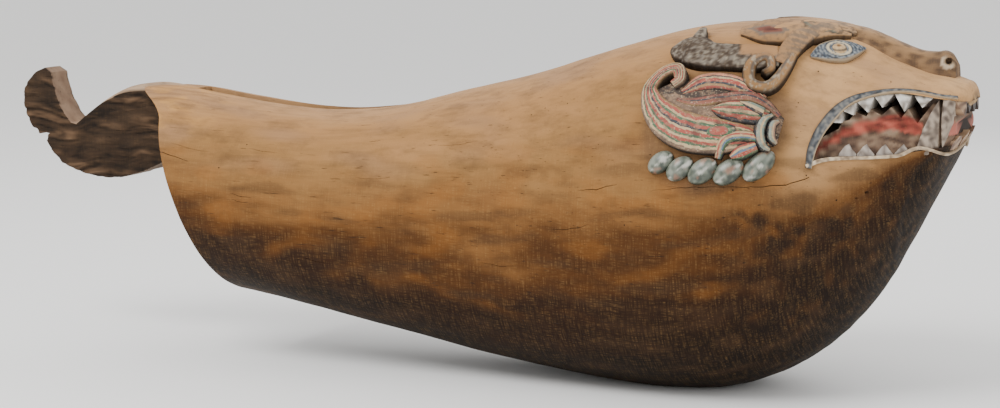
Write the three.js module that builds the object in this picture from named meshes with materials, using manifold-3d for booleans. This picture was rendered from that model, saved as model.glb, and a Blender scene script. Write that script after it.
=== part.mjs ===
// Slit drum carved from one log: a hollow trunk with a slit along its back, a flat curled tail at one
// end and a horned water-beast's head at the other. Millimetres, +Z up, +X towards the head, the origin
// under the middle of its length on the surface that it stands on.
import * as THREE from 'three';
import { mergeVertices } from 'three/addons/utils/BufferGeometryUtils.js';
import Module from 'manifold-3d';

const wasm = await Module();
wasm.setup();

// ---------- driving dimensions ----------
const NOSE_X = 898; // tip of the snout
const MIDDLE_X = -3.5; // middle of the whole length, moved onto the origin at the end
const LOG_START_X = -690; // how far the log's own back runs out over the tail
const AROUND = 26; // sides of a section of the log

// The log's lines along its length, each a smooth curve through [x, value].
const BACK_LINE = [
  [-700, 468], [-640, 481], [-560, 484], [-440, 468], [-330, 456], [-230, 452], [-120, 463], [0, 492],
  [150, 529], [300, 577], [430, 612], [520, 623], [600, 622], [650, 618], [690, 611], [730, 596],
  [770, 572], [820, 550], [880, 535], [893, 529], [900, 518],
];
const BELLY_LINE = [
  [-560, 130], [-440, 112], [-290, 90], [-90, 54], [100, 21], [240, 3], [320, -5], [430, -8],
  [500, -1], [600, 34], [670, 82], [740, 158], [810, 276], [850, 358], [880, 422], [900, 462],
];
const HALF_WIDTH = [
  [-700, 186], [-560, 188], [-300, 205], [-100, 212], [100, 226], [300, 254], [430, 268], [540, 256],
  [640, 218], [740, 168], [820, 130], [872, 98], [890, 72], [900, 36],
];
const WIDEST_HEIGHT = [
  [-530, 310], [-100, 260], [200, 250], [430, 290], [600, 328], [670, 342], [740, 372], [820, 420],
  [860, 440], [900, 482],
];
// How square the sections are above and below their widest line; 2 is a true ellipse.
const UPPER_ROUNDNESS = [
  [-530, 2.2], [0, 2.2], [430, 2.25], [600, 2.1], [690, 1.95], [740, 2], [800, 2.3], [900, 2.6],
];
const LOWER_ROUNDNESS = [[-530, 2.2], [430, 2.2], [600, 2.1], [700, 1.9], [820, 1.8], [900, 2.2]];

// Chamber: straight chiselled faces from the tail end to under the shoulders, and the slit above it.
const CHAMBER_X = [-480, 200];
const CHAMBER_HALF = [145, 191];
const CHAMBER_FLOOR = [182, 78];
const CHAMBER_CEILING = [385, 444];
const CHAMBER_HEAD_LEAN = -0.1;
const CHAMBER_PROFILE = [[0.55, 0], [1, 0.42], [0.92, 0.72], [0.42, 1]]; // [share of half width, of height]
const SLIT_HALF = 25;
const SLIT_OUTLINE = [[-534, 520], [-526, 462], [-474, 405], [-468, 365], [-75, 365], [-55, 560]];

// Tail end of the log: leaning back, and hollowed under the back where the tail leaves it.
const END_X_AT_FLOOR = -379;
const END_LEAN = 0.38;
const EAVE_FROM = 425;
const EAVE_HEIGHT = 57;
const EAVE_REACH = 80;
const END_HEIGHTS = [-60, 160, 380, 405, 419, 433, 447, 461, 475, 489, 503];
const CUT_PAST = 400; // cutters run this far to each side, well past the wood

// Tail: half its thickness at the root and at the curl's tip, and its outline from the side.
const TAIL_HALF_ROOT = 46;
const TAIL_HALF_TIP = 30;
const TAIL_ROOT_X = -560;
const TAIL_TIP_X = -900;
const TAIL_INSIDE_LOG = [-505, 440];
const TAIL_TOP = [[-540, 478], [-602, 486], [-640, 484], [-682, 476], [-722, 457], [-756, 432], [-789, 405]];
const CURL_INSIDE = [[-800, 407], [-820, 431], [-835, 464], [-844, 499]];
const CURL_OUTSIDE = [[-858, 508], [-882, 496], [-902, 470], [-905, 436], [-889, 394]];
const TAIL_BREAK = [
  [-879, 392], [-871, 382], [-850, 384], [-857, 369], [-840, 346], [-829, 336], [-822, 329],
];
const TAIL_BELOW = [
  [-800, 320], [-760, 309], [-712, 305], [-662, 314], [-612, 333], [-575, 351], [-520, 366],
];
// How far the tail's top falls away at its edges, and the line above which it does.
const TAIL_CROWN = [[-900, 0], [-800, 3], [-756, 8], [-720, 14], [-650, 21], [-600, 27], [-540, 32]];
const TAIL_MIDDLE = [[-900, 440], [-800, 370], [-700, 390], [-520, 410]];

// Mouth: how deep below the skin its layers lie.
const TEETH_DEPTH = 5;
const FANG_DEPTH = 2;
const LOWER_TEETH_DEPTH = 9;
const GUM_DEPTH = 14;
const GAP_DEPTH = 50;

// ---------- helpers ----------
// Smooth curve through [x, value] stations, level beyond its ends.
function through(stations) {
  const slope = stations.map((p, i) => {
    const a = stations[Math.max(0, i - 1)];
    const b = stations[Math.min(stations.length - 1, i + 1)];
    if (a === p || b === p) return (b[1] - a[1]) / (b[0] - a[0]);
    const before = (p[1] - a[1]) / (p[0] - a[0]);
    const after = (b[1] - p[1]) / (b[0] - p[0]);
    return (before * (b[0] - p[0]) + after * (p[0] - a[0])) / (b[0] - a[0]);
  });
  return (x) => {
    if (x <= stations[0][0]) return stations[0][1];
    const last = stations.length - 1;
    if (x >= stations[last][0]) return stations[last][1];
    const i = stations.findIndex((p, k) => k < last && x < stations[k + 1][0]);
    const width = stations[i + 1][0] - stations[i][0];
    const t = (x - stations[i][0]) / width;
    const blend = t * t * (3 - 2 * t);
    const ease = t * (1 - t) * width;
    return stations[i][1] * (1 - blend) + stations[i + 1][1] * blend
      + ease * ((1 - t) * slope[i] - t * slope[i + 1]);
  };
}

const backLine = through(BACK_LINE);
const bellyLine = through(BELLY_LINE);
const halfWidth = through(HALF_WIDTH);
const widestHeight = through(WIDEST_HEIGHT);
const upperRoundness = through(UPPER_ROUNDNESS);
const lowerRoundness = through(LOWER_ROUNDNESS);

// Point of the log's skin at x, `deg` down from the crest of the back, `inset` below the surface.
function skin(x, deg, inset = 0) {
  const angle = THREE.MathUtils.degToRad(deg);
  const [c, s] = [Math.cos(angle), Math.sin(angle)];
  const wide = widestHeight(x);
  const n = c >= 0 ? upperRoundness(x) : lowerRoundness(x);
  const reach = c >= 0 ? backLine(x) - inset - wide : bellyLine(x) + inset - wide;
  const y = -(halfWidth(x) - inset) * Math.sign(s) * Math.abs(s) ** (2 / n);
  return new THREE.Vector3(x, y, wide + reach * Math.abs(c) ** (2 / n));
}

// Turns points and triangles into a solid, facing outwards.
function solid(points, triangles) {
  let volume = 0;
  for (const [a, b, c] of triangles) {
    volume += points[a].dot(points[b].clone().cross(points[c]));
  }
  const index = triangles.flatMap(([a, b, c]) => (volume > 0 ? [a, b, c] : [a, c, b]));
  const mesh = new wasm.Mesh({
    numProp: 3,
    vertProperties: new Float32Array(points.flatMap((p) => p.toArray())),
    triVerts: new Uint32Array(index),
  });
  return new wasm.Manifold(mesh);
}

// Closed skin over a row of rings that all have the same number of points.
function loft(rings) {
  const n = rings[0].length;
  const points = rings.flat();
  const triangles = [];
  for (let i = 0; i + 1 < rings.length; i += 1) {
    for (let j = 0; j < n; j += 1) {
      const [a, b] = [i * n + j, i * n + (j + 1) % n];
      triangles.push([a, b, b + n], [a, b + n, a + n]);
    }
  }
  for (const [start, turn] of [[0, 1], [points.length - n, -1]]) {
    const middle = new THREE.Vector3();
    for (let j = 0; j < n; j += 1) middle.addScaledVector(points[start + j], 1 / n);
    const hub = points.push(middle) - 1;
    for (let j = 0; j < n; j += 1) {
      const [a, b] = [start + j, start + (j + 1) % n];
      triangles.push(turn > 0 ? [hub, b, a] : [hub, a, b]);
    }
  }
  return solid(points, triangles);
}

// Turns one of three's closed geometries into a solid.
function fromGeometry(geometry) {
  const bare = geometry.index ? geometry.clone() : geometry;
  bare.deleteAttribute('normal');
  bare.deleteAttribute('uv');
  const merged = mergeVertices(bare, 1e-3);
  const at = merged.attributes.position;
  const points = Array.from({ length: at.count }, (_, i) => new THREE.Vector3().fromBufferAttribute(at, i));
  const triangles = [];
  for (let i = 0; i < merged.index.count; i += 3) {
    triangles.push([merged.index.getX(i), merged.index.getX(i + 1), merged.index.getX(i + 2)]);
  }
  return solid(points, triangles);
}

// Outline drawn from the side as [x, z], run across from y0 to y1.
function sideways(outline, y0, y1, steps = 1) {
  const shape = new THREE.Shape(outline.map(([x, z]) => new THREE.Vector2(x, z)));
  const geometry = new THREE.ExtrudeGeometry(shape, { depth: y1 - y0, steps, bevelEnabled: false });
  geometry.rotateX(Math.PI / 2);
  geometry.translate(0, y1, 0);
  return fromGeometry(geometry);
}

// Smooth run of [x, z] points through the few given ones.
function smooth(points, pieces) {
  const curve = new THREE.SplineCurve(points.map(([x, z]) => new THREE.Vector2(x, z)));
  return curve.getPoints(pieces).map((p) => [p.x, p.y]);
}

const union = (solids) => solids.reduce((sum, next) => sum.add(next));

// ---------- the log ----------
const LOG_STOPS = [
  LOG_START_X, -630, -575, -510, -430, -345, -260, -175, -90, 0, 90, 170, 240, 310, 375, 435, 490, 540,
  585, 628, 668, 706, 742, 775, 807, 836, 860, 879, 891, NOSE_X,
];
const HEAD_STOPS = [600, 660, 715, 765, 810, 845, 870, 886, NOSE_X];

// The solid log `inset` below its skin; the surface that it stands on flattens its belly.
function log(inset = 0, stops = LOG_STOPS, around = AROUND) {
  const along = stops.filter((x) => x <= NOSE_X - inset * 1.2);
  return loft(along.map((x) => Array.from({ length: around }, (_, j) => {
    const p = skin(x, (360 / around) * j, inset);
    p.z = Math.max(p.z, inset);
    return p;
  })));
}

// What the adze took away beyond the leaning end, with the hollow under the eave.
function endCut() {
  const face = END_HEIGHTS.map((z) => {
    const under = Math.max(0, z - EAVE_FROM) / EAVE_HEIGHT;
    return [END_X_AT_FLOOR - END_LEAN * z - EAVE_REACH * under ** 2.2, z];
  });
  const [low, high] = [END_HEIGHTS[0], END_HEIGHTS[END_HEIGHTS.length - 1]];
  const beyond = TAIL_TIP_X - CUT_PAST;
  return sideways([[beyond, low], ...face, [beyond, high]], -CUT_PAST, CUT_PAST);
}

// Chamber with straight faces, narrower at its floor and under the slit.
function chamber() {
  const rings = CHAMBER_X.map((x, k) => {
    const [half, floor, ceiling] = [CHAMBER_HALF[k], CHAMBER_FLOOR[k], CHAMBER_CEILING[k]];
    const lean = k === 0 ? END_LEAN : CHAMBER_HEAD_LEAN;
    const side = CHAMBER_PROFILE.map(([across, up]) => [across * half, floor + up * (ceiling - floor)]);
    const ring = [...side, ...side.map(([y, z]) => [-y, z]).reverse()];
    return ring.map(([y, z]) => new THREE.Vector3(x - lean * (z - ceiling), y, z));
  });
  return loft(rings);
}

// ---------- the tail ----------
// A flat upright board: a hump, a valley and a curl, its lower edge broken.
function tail() {
  const outline = [
    TAIL_INSIDE_LOG,
    ...smooth(TAIL_TOP, 12),
    ...smooth(CURL_INSIDE, 6),
    ...smooth(CURL_OUTSIDE, 9),
    ...TAIL_BREAK,
    ...smooth(TAIL_BELOW, 9),
  ];
  const shape = new THREE.Shape(outline.map(([x, z]) => new THREE.Vector2(x, z)));
  const board = new THREE.ExtrudeGeometry(shape, { depth: 2, steps: 4, bevelEnabled: false });
  board.rotateX(Math.PI / 2);
  board.translate(0, 1, 0);
  const at = board.attributes.position;
  const crown = through(TAIL_CROWN);
  const middle = through(TAIL_MIDDLE);
  for (let i = 0; i < at.count; i += 1) {
    const [x, across, z] = [at.getX(i), at.getY(i), at.getZ(i)];
    const run = THREE.MathUtils.clamp((x - TAIL_ROOT_X) / (TAIL_TIP_X - TAIL_ROOT_X), 0, 1);
    at.setY(i, across * THREE.MathUtils.lerp(TAIL_HALF_ROOT, TAIL_HALF_TIP, run));
    if (z > middle(x)) at.setZ(i, z - crown(x) * across ** 2);
  }
  return fromGeometry(board);
}

// ---------- relief ----------
// A carved band laid on the skin. Its stations are [x, degrees down, half width, height]; `edge` is the
// share of the height that its sides keep.
function band(stations, side, { pieces = 8, edge = 0.55, sunk = 7, wide = false } = {}) {
  const curve = (points) => new THREE.CatmullRomCurve3(points.map(([a, b]) => new THREE.Vector3(a, b, 0)));
  const path = curve(stations);
  const size = curve(stations.map(([, , half, high]) => [half, high]));
  const at = (x, deg) => skin(x, side * deg);
  const top = wide ? [[-0.4, 1], [0.4, 1]] : [[0, 1]];
  const profile = [[-1, -1], [-1, edge], ...top, [1, edge], [1, -1]];
  const rings = [];
  for (let i = 0; i <= pieces; i += 1) {
    const s = i / pieces;
    const { x, y: deg } = path.getPoint(s);
    const { x: half, y: high } = size.getPoint(s);
    const step = 0.5;
    const alongX = at(x + step, deg).sub(at(x - step, deg)).divideScalar(2 * step);
    const alongDeg = at(x, deg + step).sub(at(x, deg - step)).divideScalar(2 * step);
    const a = path.getPoint(Math.max(0, s - 0.02));
    const b = path.getPoint(Math.min(1, s + 0.02));
    const forward = at(b.x, b.y).sub(at(a.x, a.y)).normalize();
    const normal = alongX.clone().cross(alongDeg).normalize().multiplyScalar(side > 0 ? -1 : 1);
    const across = normal.clone().cross(forward);
    const [xx, xd, dd] = [alongX.dot(alongX), alongX.dot(alongDeg), alongDeg.dot(alongDeg)];
    const det = xx * dd - xd * xd;
    rings.push(profile.map(([u, h]) => {
      const [px, pd] = [across.dot(alongX) * u * half, across.dot(alongDeg) * u * half];
      const p = at(x + (px * dd - pd * xd) / det, deg + (pd * xx - px * xd) / det);
      return p.addScaledVector(normal, h < 0 ? -sunk : h * high);
    }));
  }
  return loft(rings);
}

const SWELLING_SIDES = [8, 4];

// A swelling, such as a bead or an eyeball: half sizes along, across and out from the skin.
function swelling([x, deg, turn], [along, across, out], side) {
  const ball = new THREE.SphereGeometry(1, ...SWELLING_SIDES);
  const at = skin(x, side * deg);
  const forward = skin(x + 1, side * deg).sub(at).normalize();
  const down = skin(x, side * (deg + 1)).sub(at).normalize();
  const normal = forward.clone().cross(down).normalize().multiplyScalar(side > 0 ? -1 : 1);
  const angle = THREE.MathUtils.degToRad(turn);
  const first = forward.clone().multiplyScalar(Math.cos(angle)).addScaledVector(down, -Math.sin(angle));
  const second = normal.clone().cross(first);
  const place = new THREE.Matrix4().makeBasis(
    first.multiplyScalar(along),
    second.multiplyScalar(across),
    normal.clone().multiplyScalar(out),
  );
  place.setPosition(at);
  ball.applyMatrix4(place);
  return fromGeometry(ball);
}

// Fin behind the jaw: locks that sweep back and curl up into a knob, and a cluster of petals.
const FIN_BANDS = [
  { name: 'bed of the fin', pieces: 6, wide: true,
    at: [[626, 65, 22, 6], [592, 63, 44, 9], [540, 60.5, 54, 10], [490, 57.5, 54, 10], [450, 54, 46, 10],
      [420, 52, 22, 9]] },
  { name: 'lower lock', pieces: 12, wide: true,
    at: [[612, 69, 8, 8], [575, 67, 20, 14], [530, 66, 30, 17], [482, 63.5, 32, 18], [446, 59, 29, 18],
      [422, 53, 20, 18], [414, 48, 13, 18], [422, 44, 11, 18], [440, 41.5, 11, 20], [457, 42.5, 11, 22],
      [462, 46, 10, 22], [452, 48, 8, 20]] },
  { name: 'upper lock', pieces: 6,
    at: [[598, 54, 6, 8], [565, 50, 15, 14], [530, 47.5, 18, 15], [496, 47.5, 17, 15], [468, 50.5, 6, 12]] },
  { name: 'middle lock', pieces: 6,
    at: [[622, 60, 5, 8], [600, 56, 9, 13], [572, 53.5, 11, 15], [530, 54, 11, 15], [492, 54.5, 9, 14],
      [462, 53, 4, 12]] },
  { name: 'great petal', pieces: 4,
    at: [[520, 57.5, 3, 14], [533, 58, 13, 20], [556, 58.6, 20, 22], [584, 59.5, 19, 21],
      [606, 60.5, 12, 16]] },
  { name: 'top petal', pieces: 4, at: [[562, 56, 3, 20], [578, 57.5, 9, 26], [598, 59.5, 10, 24]] },
  { name: 'round petal', pieces: 5,
    at: [[514, 65, 4, 15], [525, 65, 14, 20], [545, 65, 15, 20], [560, 65, 9, 18]] },
  { name: 'arched petal', pieces: 5,
    at: [[537, 73, 6, 14], [542, 69, 10, 20], [556, 67, 10, 21], [578, 67, 10, 21], [596, 68, 7, 18]] },
  { name: 'inner petal', pieces: 4, at: [[556, 73, 5, 14], [572, 71.5, 13, 20], [592, 70, 10, 18]] },
  { name: 'outer crescent', pieces: 5,
    at: [[611, 60, 4, 16], [598, 62.5, 9, 22], [595, 66, 10, 24], [600, 69.5, 9, 22], [612, 71.5, 4, 16]] },
  { name: 'inner crescent', pieces: 4,
    at: [[621, 62, 4, 16], [612, 64, 8, 24], [612, 67, 8, 24], [621, 69.5, 4, 16]] },
];

// Pearls under the fin: [x, degrees down, turn, half length, half width].
const PEARLS = [
  [445, 72, 32, 22, 15], [477, 74.5, 34, 23, 16], [514, 76, 34, 25, 17], [554, 77, 34, 26, 17],
  [599, 76, 42, 30, 17],
];
const PEARL_OUT = 14;

// Crest over the head: horn leaf, scroll, brow and the spiral that ends the scroll.
const CREST_BANDS = [
  { name: 'crown', pieces: 6, edge: 0.85, wide: true,
    at: [[528, 19, 14, 3], [570, 18, 46, 8], [612, 15, 50, 10], [648, 9.5, 46, 9], [690, 5, 36, 6]] },
  { name: 'horn leaf', pieces: 7, edge: 0.85, wide: true,
    at: [[428, 30, 8, 10], [441, 30.5, 24, 13], [462, 31, 34, 13], [490, 34.5, 29, 13], [525, 36, 27, 13],
      [565, 36.5, 27, 13], [604, 36, 22, 12]] },
  { name: 'horn point', pieces: 3, edge: 0.85, at: [[468, 31, 14, 12], [467, 24, 12, 12], [464, 17, 6, 10]] },
  { name: 'brow', pieces: 6, edge: 0.8,
    at: [[612, 40, 14, 14], [618, 33, 17, 13], [626, 26, 19, 12], [638, 18, 22, 10], [662, 9, 24, 9],
      [700, 5, 26, 8]] },
  { name: 'scroll', pieces: 12,
    at: [[626, 35, 8, 14], [619, 42, 10, 18], [606, 48.5, 11, 20], [586, 50, 11, 20], [569, 47, 11, 20],
      [566, 42, 11, 19], [577, 38, 10, 18], [593, 38.5, 9, 20], [598, 42.5, 8, 21], [589, 45, 7, 21]] },
];
const EYE = [[652, 33, 3, 2], [670, 30, 20, 4], [691, 27, 26, 4.5], [711, 23.5, 18, 4], [728, 20, 3, 2]];
const IRIS = [691, 27, 0];
const IRIS_SIZE = [14, 14, 8];

// Trunk along the middle of the snout: its top line and half width; it ends in a rolled tip with a nostril.
const TRUNK_TOP = [
  [560, 624], [600, 629], [650, 627], [690, 620], [729, 611], [771, 594], [813, 580], [834, 579],
  [850, 580], [860, 574], [868, 560],
];
const TRUNK_HALF = [
  [560, 110], [600, 100], [650, 66], [690, 50], [730, 44], [771, 40], [813, 32], [850, 29], [868, 25],
];
const TRUNK_STOPS = [570, 610, 650, 690, 725, 760, 795, 830, 848, 860, 868];
const TRUNK_AROUND = 12;
const TRUNK_ROOT = 34; // how deep the trunk is set into the log
const TRUNK_UNDER = 12;
const NOSTRIL = { x: 856, z: 564, radius: 5, depth: 20 };

function trunk() {
  const top = through(TRUNK_TOP);
  const half = through(TRUNK_HALF);
  const rings = TRUNK_STOPS.map((x) => Array.from({ length: TRUNK_AROUND }, (_, j) => {
    const angle = ((2 * Math.PI) / TRUNK_AROUND) * j;
    const root = backLine(x) - TRUNK_ROOT;
    const [c, s] = [Math.cos(angle), Math.sin(angle)];
    const high = c > 0 ? top(x) - root : TRUNK_UNDER;
    const y = half(x) * Math.sign(s) * Math.abs(s) ** 0.7;
    return new THREE.Vector3(x, y, root + high * Math.sign(c) * Math.abs(c) ** 0.8);
  }));
  const { x, z, radius, depth } = NOSTRIL;
  const hole = new THREE.CylinderGeometry(radius, radius, 100, 10);
  hole.translate(x, 0, z);
  const around = [[x - 16, z - 14], [x + 24, z - 14], [x + 24, z + 16], [x - 16, z + 16]];
  const wall = sideways(around, -depth / 2, depth / 2);
  return loft(rings).subtract(fromGeometry(hole).subtract(wall));
}

// ---------- the mouth, drawn from the side ----------
const UPPER_LIP = [[671, 405], [679, 436], [702, 483], [733, 508], [789, 517], [855, 508], [910, 500]];
const LOWER_LIP = [[910, 434], [854, 430], [798, 421], [747, 418], [700, 417], [671, 405]];
// The gum's ragged top edge, and at the front the tongue between two dark gaps.
const GUM_OUTLINE = [
  [660, 395], [676, 430], [685, 447], [708, 460], [712, 471], [723, 474], [730, 486], [747, 479],
  [752, 490], [770, 481], [783, 494], [800, 477], [809, 491], [825, 469], [845, 500], [860, 503],
  [870, 503], [882, 466], [915, 466], [915, 450], [878, 450], [878, 436], [915, 436], [915, 395],
];
// Each upper tooth: where it starts on the lip, its point, and where it ends.
const UPPER_TEETH = [
  [[693, 471], [713, 470], [712, 490]],
  [[713, 489], [730, 482], [732, 503]],
  [[733, 502], [751, 486], [757, 509]],
  [[758, 510], [772, 494], [786, 514]],
  [[788, 514], [806, 488], [814, 514]],
  [[818, 511], [832, 494], [845, 508]],
];
const TOOTH_ROOT = 14; // how far a tooth runs up into the wood
const LOWER_TEETH_X = [725, 752, 780, 807];
const LOWER_TOOTH = [[-14, 410], [-13, 421], [0, 436], [13, 422], [14, 410]];
const LOWER_FANG = [[824, 420], [835, 458], [845, 484], [856, 506], [859, 480], [858, 420]];
const UPPER_FANG = [[862, 515], [880, 515], [877, 468], [870, 447], [864, 431], [862, 468]];
const INCISORS_Y = [-58, -20, 20, 58];
const INCISOR_ENDS = [[520, 482], [425, 446]]; // [root, tip] of the upper and the lower ones
const INCISOR_HALF = 15;
const INCISOR_TIP_HALF = 7;
const INCISOR_LONG = 80;
const LIP_LOBE = { at: [884, 0, 507], size: [15, 56, 18] };

// One front tooth, squat and blunt, as long as the muzzle is deep.
function incisor(y, root, tip) {
  const shoulder = (root + 2 * tip) / 3;
  const half = [[INCISOR_HALF, root], [INCISOR_HALF, shoulder], [INCISOR_TIP_HALF, tip]];
  const outline = [...half.map(([a, z]) => [-a, z]), ...half.map(([a, z]) => [a, z]).reverse()];
  const shape = new THREE.Shape(outline.map(([a, z]) => new THREE.Vector2(a + y, z)));
  const geometry = new THREE.ExtrudeGeometry(shape, { depth: INCISOR_LONG, bevelEnabled: false });
  geometry.rotateX(Math.PI / 2);
  geometry.rotateZ(Math.PI / 2);
  geometry.translate(NOSE_X - INCISOR_LONG + TEETH_DEPTH, 0, 0);
  return fromGeometry(geometry);
}

function mouth(head) {
  const opening = [...smooth(UPPER_LIP, 14), ...smooth(LOWER_LIP, 8).slice(0, -1)];
  const across = (outline) => sideways(outline, -CUT_PAST, CUT_PAST);
  const under = (depth) => log(depth, HEAD_STOPS, depth === GAP_DEPTH ? 12 : 18);
  const hollow = across(opening).subtract(under(GAP_DEPTH));
  const gum = across(GUM_OUTLINE).intersect(under(GUM_DEPTH));
  const upperTeeth = UPPER_TEETH.map(([from, tip, to]) => {
    const roots = [to, from].map(([x, z]) => [x, z + TOOTH_ROOT]);
    return across([from, tip, to, ...roots]);
  });
  const lowerTeeth = LOWER_TEETH_X.map((at) => across(LOWER_TOOTH.map(([x, z]) => [at + x, z])));
  const frontTeeth = INCISORS_Y.flatMap((y) => INCISOR_ENDS.map(([root, tip]) => incisor(y, root, tip)));
  const rows = [
    gum,
    union(upperTeeth).intersect(under(TEETH_DEPTH)),
    union(lowerTeeth).intersect(under(LOWER_TEETH_DEPTH)),
    union([LOWER_FANG, UPPER_FANG].map(across)).intersect(under(FANG_DEPTH)),
    union(frontTeeth).intersect(under(TEETH_DEPTH)),
  ];
  return union([head.subtract(hollow), ...rows]);
}

// ---------- the whole drum ----------
const sides = [1, -1];
const relief = sides.flatMap((side) => [
  ...FIN_BANDS.map(({ at, ...cut }) => band(at, side, cut)),
  ...CREST_BANDS.map(({ at, ...cut }) => band(at, side, cut)),
  ...PEARLS.map(([x, deg, turn, ...size]) => swelling([x, deg, turn], [...size, PEARL_OUT], side)),
  band(EYE, side, { pieces: 6, sunk: 5 }),
  swelling(IRIS, IRIS_SIZE, side),
]);
const lobe = new THREE.SphereGeometry(1, 12, 6);
lobe.scale(...LIP_LOBE.size);
lobe.translate(...LIP_LOBE.at);
const slit = sideways(SLIT_OUTLINE, -SLIT_HALF, SLIT_HALF);
const body = log().subtract(endCut()).subtract(chamber()).subtract(slit).add(tail());
const carved = union([mouth(body), trunk(), fromGeometry(lobe), ...relief]);

const { vertProperties, triVerts, numProp } = carved.getMesh();
const geometry = new THREE.BufferGeometry();
geometry.setAttribute('position', new THREE.BufferAttribute(Float32Array.from(vertProperties), numProp));
geometry.setIndex(Array.from(triVerts));
geometry.translate(-MIDDLE_X, 0, 0);
geometry.computeVertexNormals();

const wood = new THREE.MeshStandardMaterial({ color: 0x8f6d48, roughness: 0.72, metalness: 0 });
wood.name = 'carved wood';
const drum = new THREE.Mesh(geometry, wood);
drum.name = 'slit_drum';

const group = new THREE.Group();
group.add(drum);

export default group;
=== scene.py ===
"""Slit drum cut from one log, with a curled tail and a horned water-beast's head. Sizes in millimetres
in the log's own frame, +X towards the head; solid() turns them into metres in the shared frame."""
import math
import bmesh
import bpy
import numpy as np
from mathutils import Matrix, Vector, noise


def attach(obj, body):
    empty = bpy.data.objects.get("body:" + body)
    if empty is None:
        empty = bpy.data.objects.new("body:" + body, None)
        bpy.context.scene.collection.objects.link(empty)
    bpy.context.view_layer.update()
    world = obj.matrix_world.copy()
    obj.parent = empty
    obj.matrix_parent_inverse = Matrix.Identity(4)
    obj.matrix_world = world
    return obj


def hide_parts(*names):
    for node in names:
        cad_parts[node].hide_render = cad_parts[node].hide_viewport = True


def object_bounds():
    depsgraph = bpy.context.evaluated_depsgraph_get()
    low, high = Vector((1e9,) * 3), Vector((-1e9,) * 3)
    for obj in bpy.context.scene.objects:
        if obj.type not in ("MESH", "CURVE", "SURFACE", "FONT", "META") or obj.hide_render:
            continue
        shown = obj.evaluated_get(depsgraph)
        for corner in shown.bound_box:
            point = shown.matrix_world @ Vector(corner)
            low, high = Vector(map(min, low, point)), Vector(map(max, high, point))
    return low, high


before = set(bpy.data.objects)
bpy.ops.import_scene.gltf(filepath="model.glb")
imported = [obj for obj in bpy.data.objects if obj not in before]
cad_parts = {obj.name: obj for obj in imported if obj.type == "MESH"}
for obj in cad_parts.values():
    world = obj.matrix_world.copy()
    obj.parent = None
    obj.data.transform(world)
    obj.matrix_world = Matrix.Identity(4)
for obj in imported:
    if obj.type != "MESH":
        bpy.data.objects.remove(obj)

cad_box = [list(corner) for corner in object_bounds()]

# ---------- the log ----------
# One tree trunk, adzed to a smooth swelling body that is narrow at the tail and deep under the jaws.
# Its surface keeps shallow tool marks, a step under the jaw and a flat facet down the front of the chin.
SHIFT_X = 3.5
NOSE_X, LOG_START_X = 898, -690
BACK_LINE = [
    (-700, 468), (-640, 481), (-560, 484), (-440, 468), (-330, 456), (-230, 452), (-120, 463), (0, 492),
    (150, 529), (300, 577), (430, 612), (520, 623), (600, 622), (650, 618), (690, 611), (730, 596),
    (770, 572), (820, 550), (880, 535), (893, 529), (900, 518)]
BELLY_LINE = [
    (-560, 130), (-440, 112), (-290, 90), (-90, 54), (100, 21), (240, 3), (320, -5), (430, -8),
    (500, -1), (600, 34), (670, 82), (740, 158), (810, 276), (850, 358), (880, 422), (900, 462)]
HALF_WIDTH = [
    (-700, 186), (-560, 188), (-300, 205), (-100, 212), (100, 226), (300, 254), (430, 268), (540, 256),
    (640, 218), (740, 168), (820, 130), (872, 98), (890, 72), (900, 36)]
WIDEST_HEIGHT = [
    (-530, 310), (-100, 260), (200, 250), (430, 290), (600, 328), (670, 342), (740, 372), (820, 420),
    (860, 440), (900, 482)]
UPPER_ROUNDNESS = [(-530, 2.2), (0, 2.2), (430, 2.25), (600, 2.1), (690, 1.95), (740, 2), (800, 2.3),
    (900, 2.6)]
LOWER_ROUNDNESS = [(-530, 2.2), (430, 2.2), (600, 2.1), (700, 1.9), (820, 1.8), (900, 2.2)]


def through(stations):
    """Smooth curve through (x, value) stations, level beyond its ends."""
    at, value = np.array(stations, float).T
    width = np.diff(at)
    rise = np.diff(value) / width
    slope = np.concatenate([rise[:1], (rise[:-1] * width[1:] + rise[1:] * width[:-1]) / (width[1:]
        + width[:-1]), rise[-1:]])

    def curve(x):
        x = np.clip(x, at[0], at[-1])
        i = np.clip(np.searchsorted(at, x, side="right") - 1, 0, len(width) - 1)
        t = (x - at[i]) / width[i]
        blend = t * t * (3 - 2 * t)
        return (value[i] * (1 - blend) + value[i + 1] * blend
                + t * (1 - t) * width[i] * ((1 - t) * slope[i] - t * slope[i + 1]))
    return curve


back_line, belly_line, half_width, widest, upper_round, lower_round = map(
    through, (BACK_LINE, BELLY_LINE, HALF_WIDTH, WIDEST_HEIGHT, UPPER_ROUNDNESS, LOWER_ROUNDNESS))


def skin(x, deg, inset=0.0):
    """Points of the log's skin at x, deg down from the crest on the near side, inset below the surface."""
    x, deg, inset = np.broadcast_arrays(np.asarray(x, float), np.asarray(deg, float),
        np.asarray(inset, float))
    c, s = np.cos(np.radians(deg)), np.sin(np.radians(deg))
    up = c >= 0
    n = np.where(up, upper_round(x), lower_round(x))
    wide = widest(x)
    reach = np.where(up, back_line(x) - inset - wide, belly_line(x) + inset - wide)
    y = -(half_width(x) - inset) * np.sign(s) * np.abs(s) ** (2 / n)
    return np.stack([x, y, wide + reach * np.abs(c) ** (2 / n)], -1)


def degrees_at(x, z):
    """How far down from the crest the skin stands at height z."""
    wide = widest(x)
    up = z >= wide
    n = np.where(up, upper_round(x), lower_round(x))
    reach = np.where(up, back_line(x) - wide, wide - belly_line(x))
    c = np.clip(np.abs(z - wide) / reach, 0, 1) ** (n / 2) * np.where(up, 1, -1)
    return np.degrees(np.arccos(c))


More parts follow.
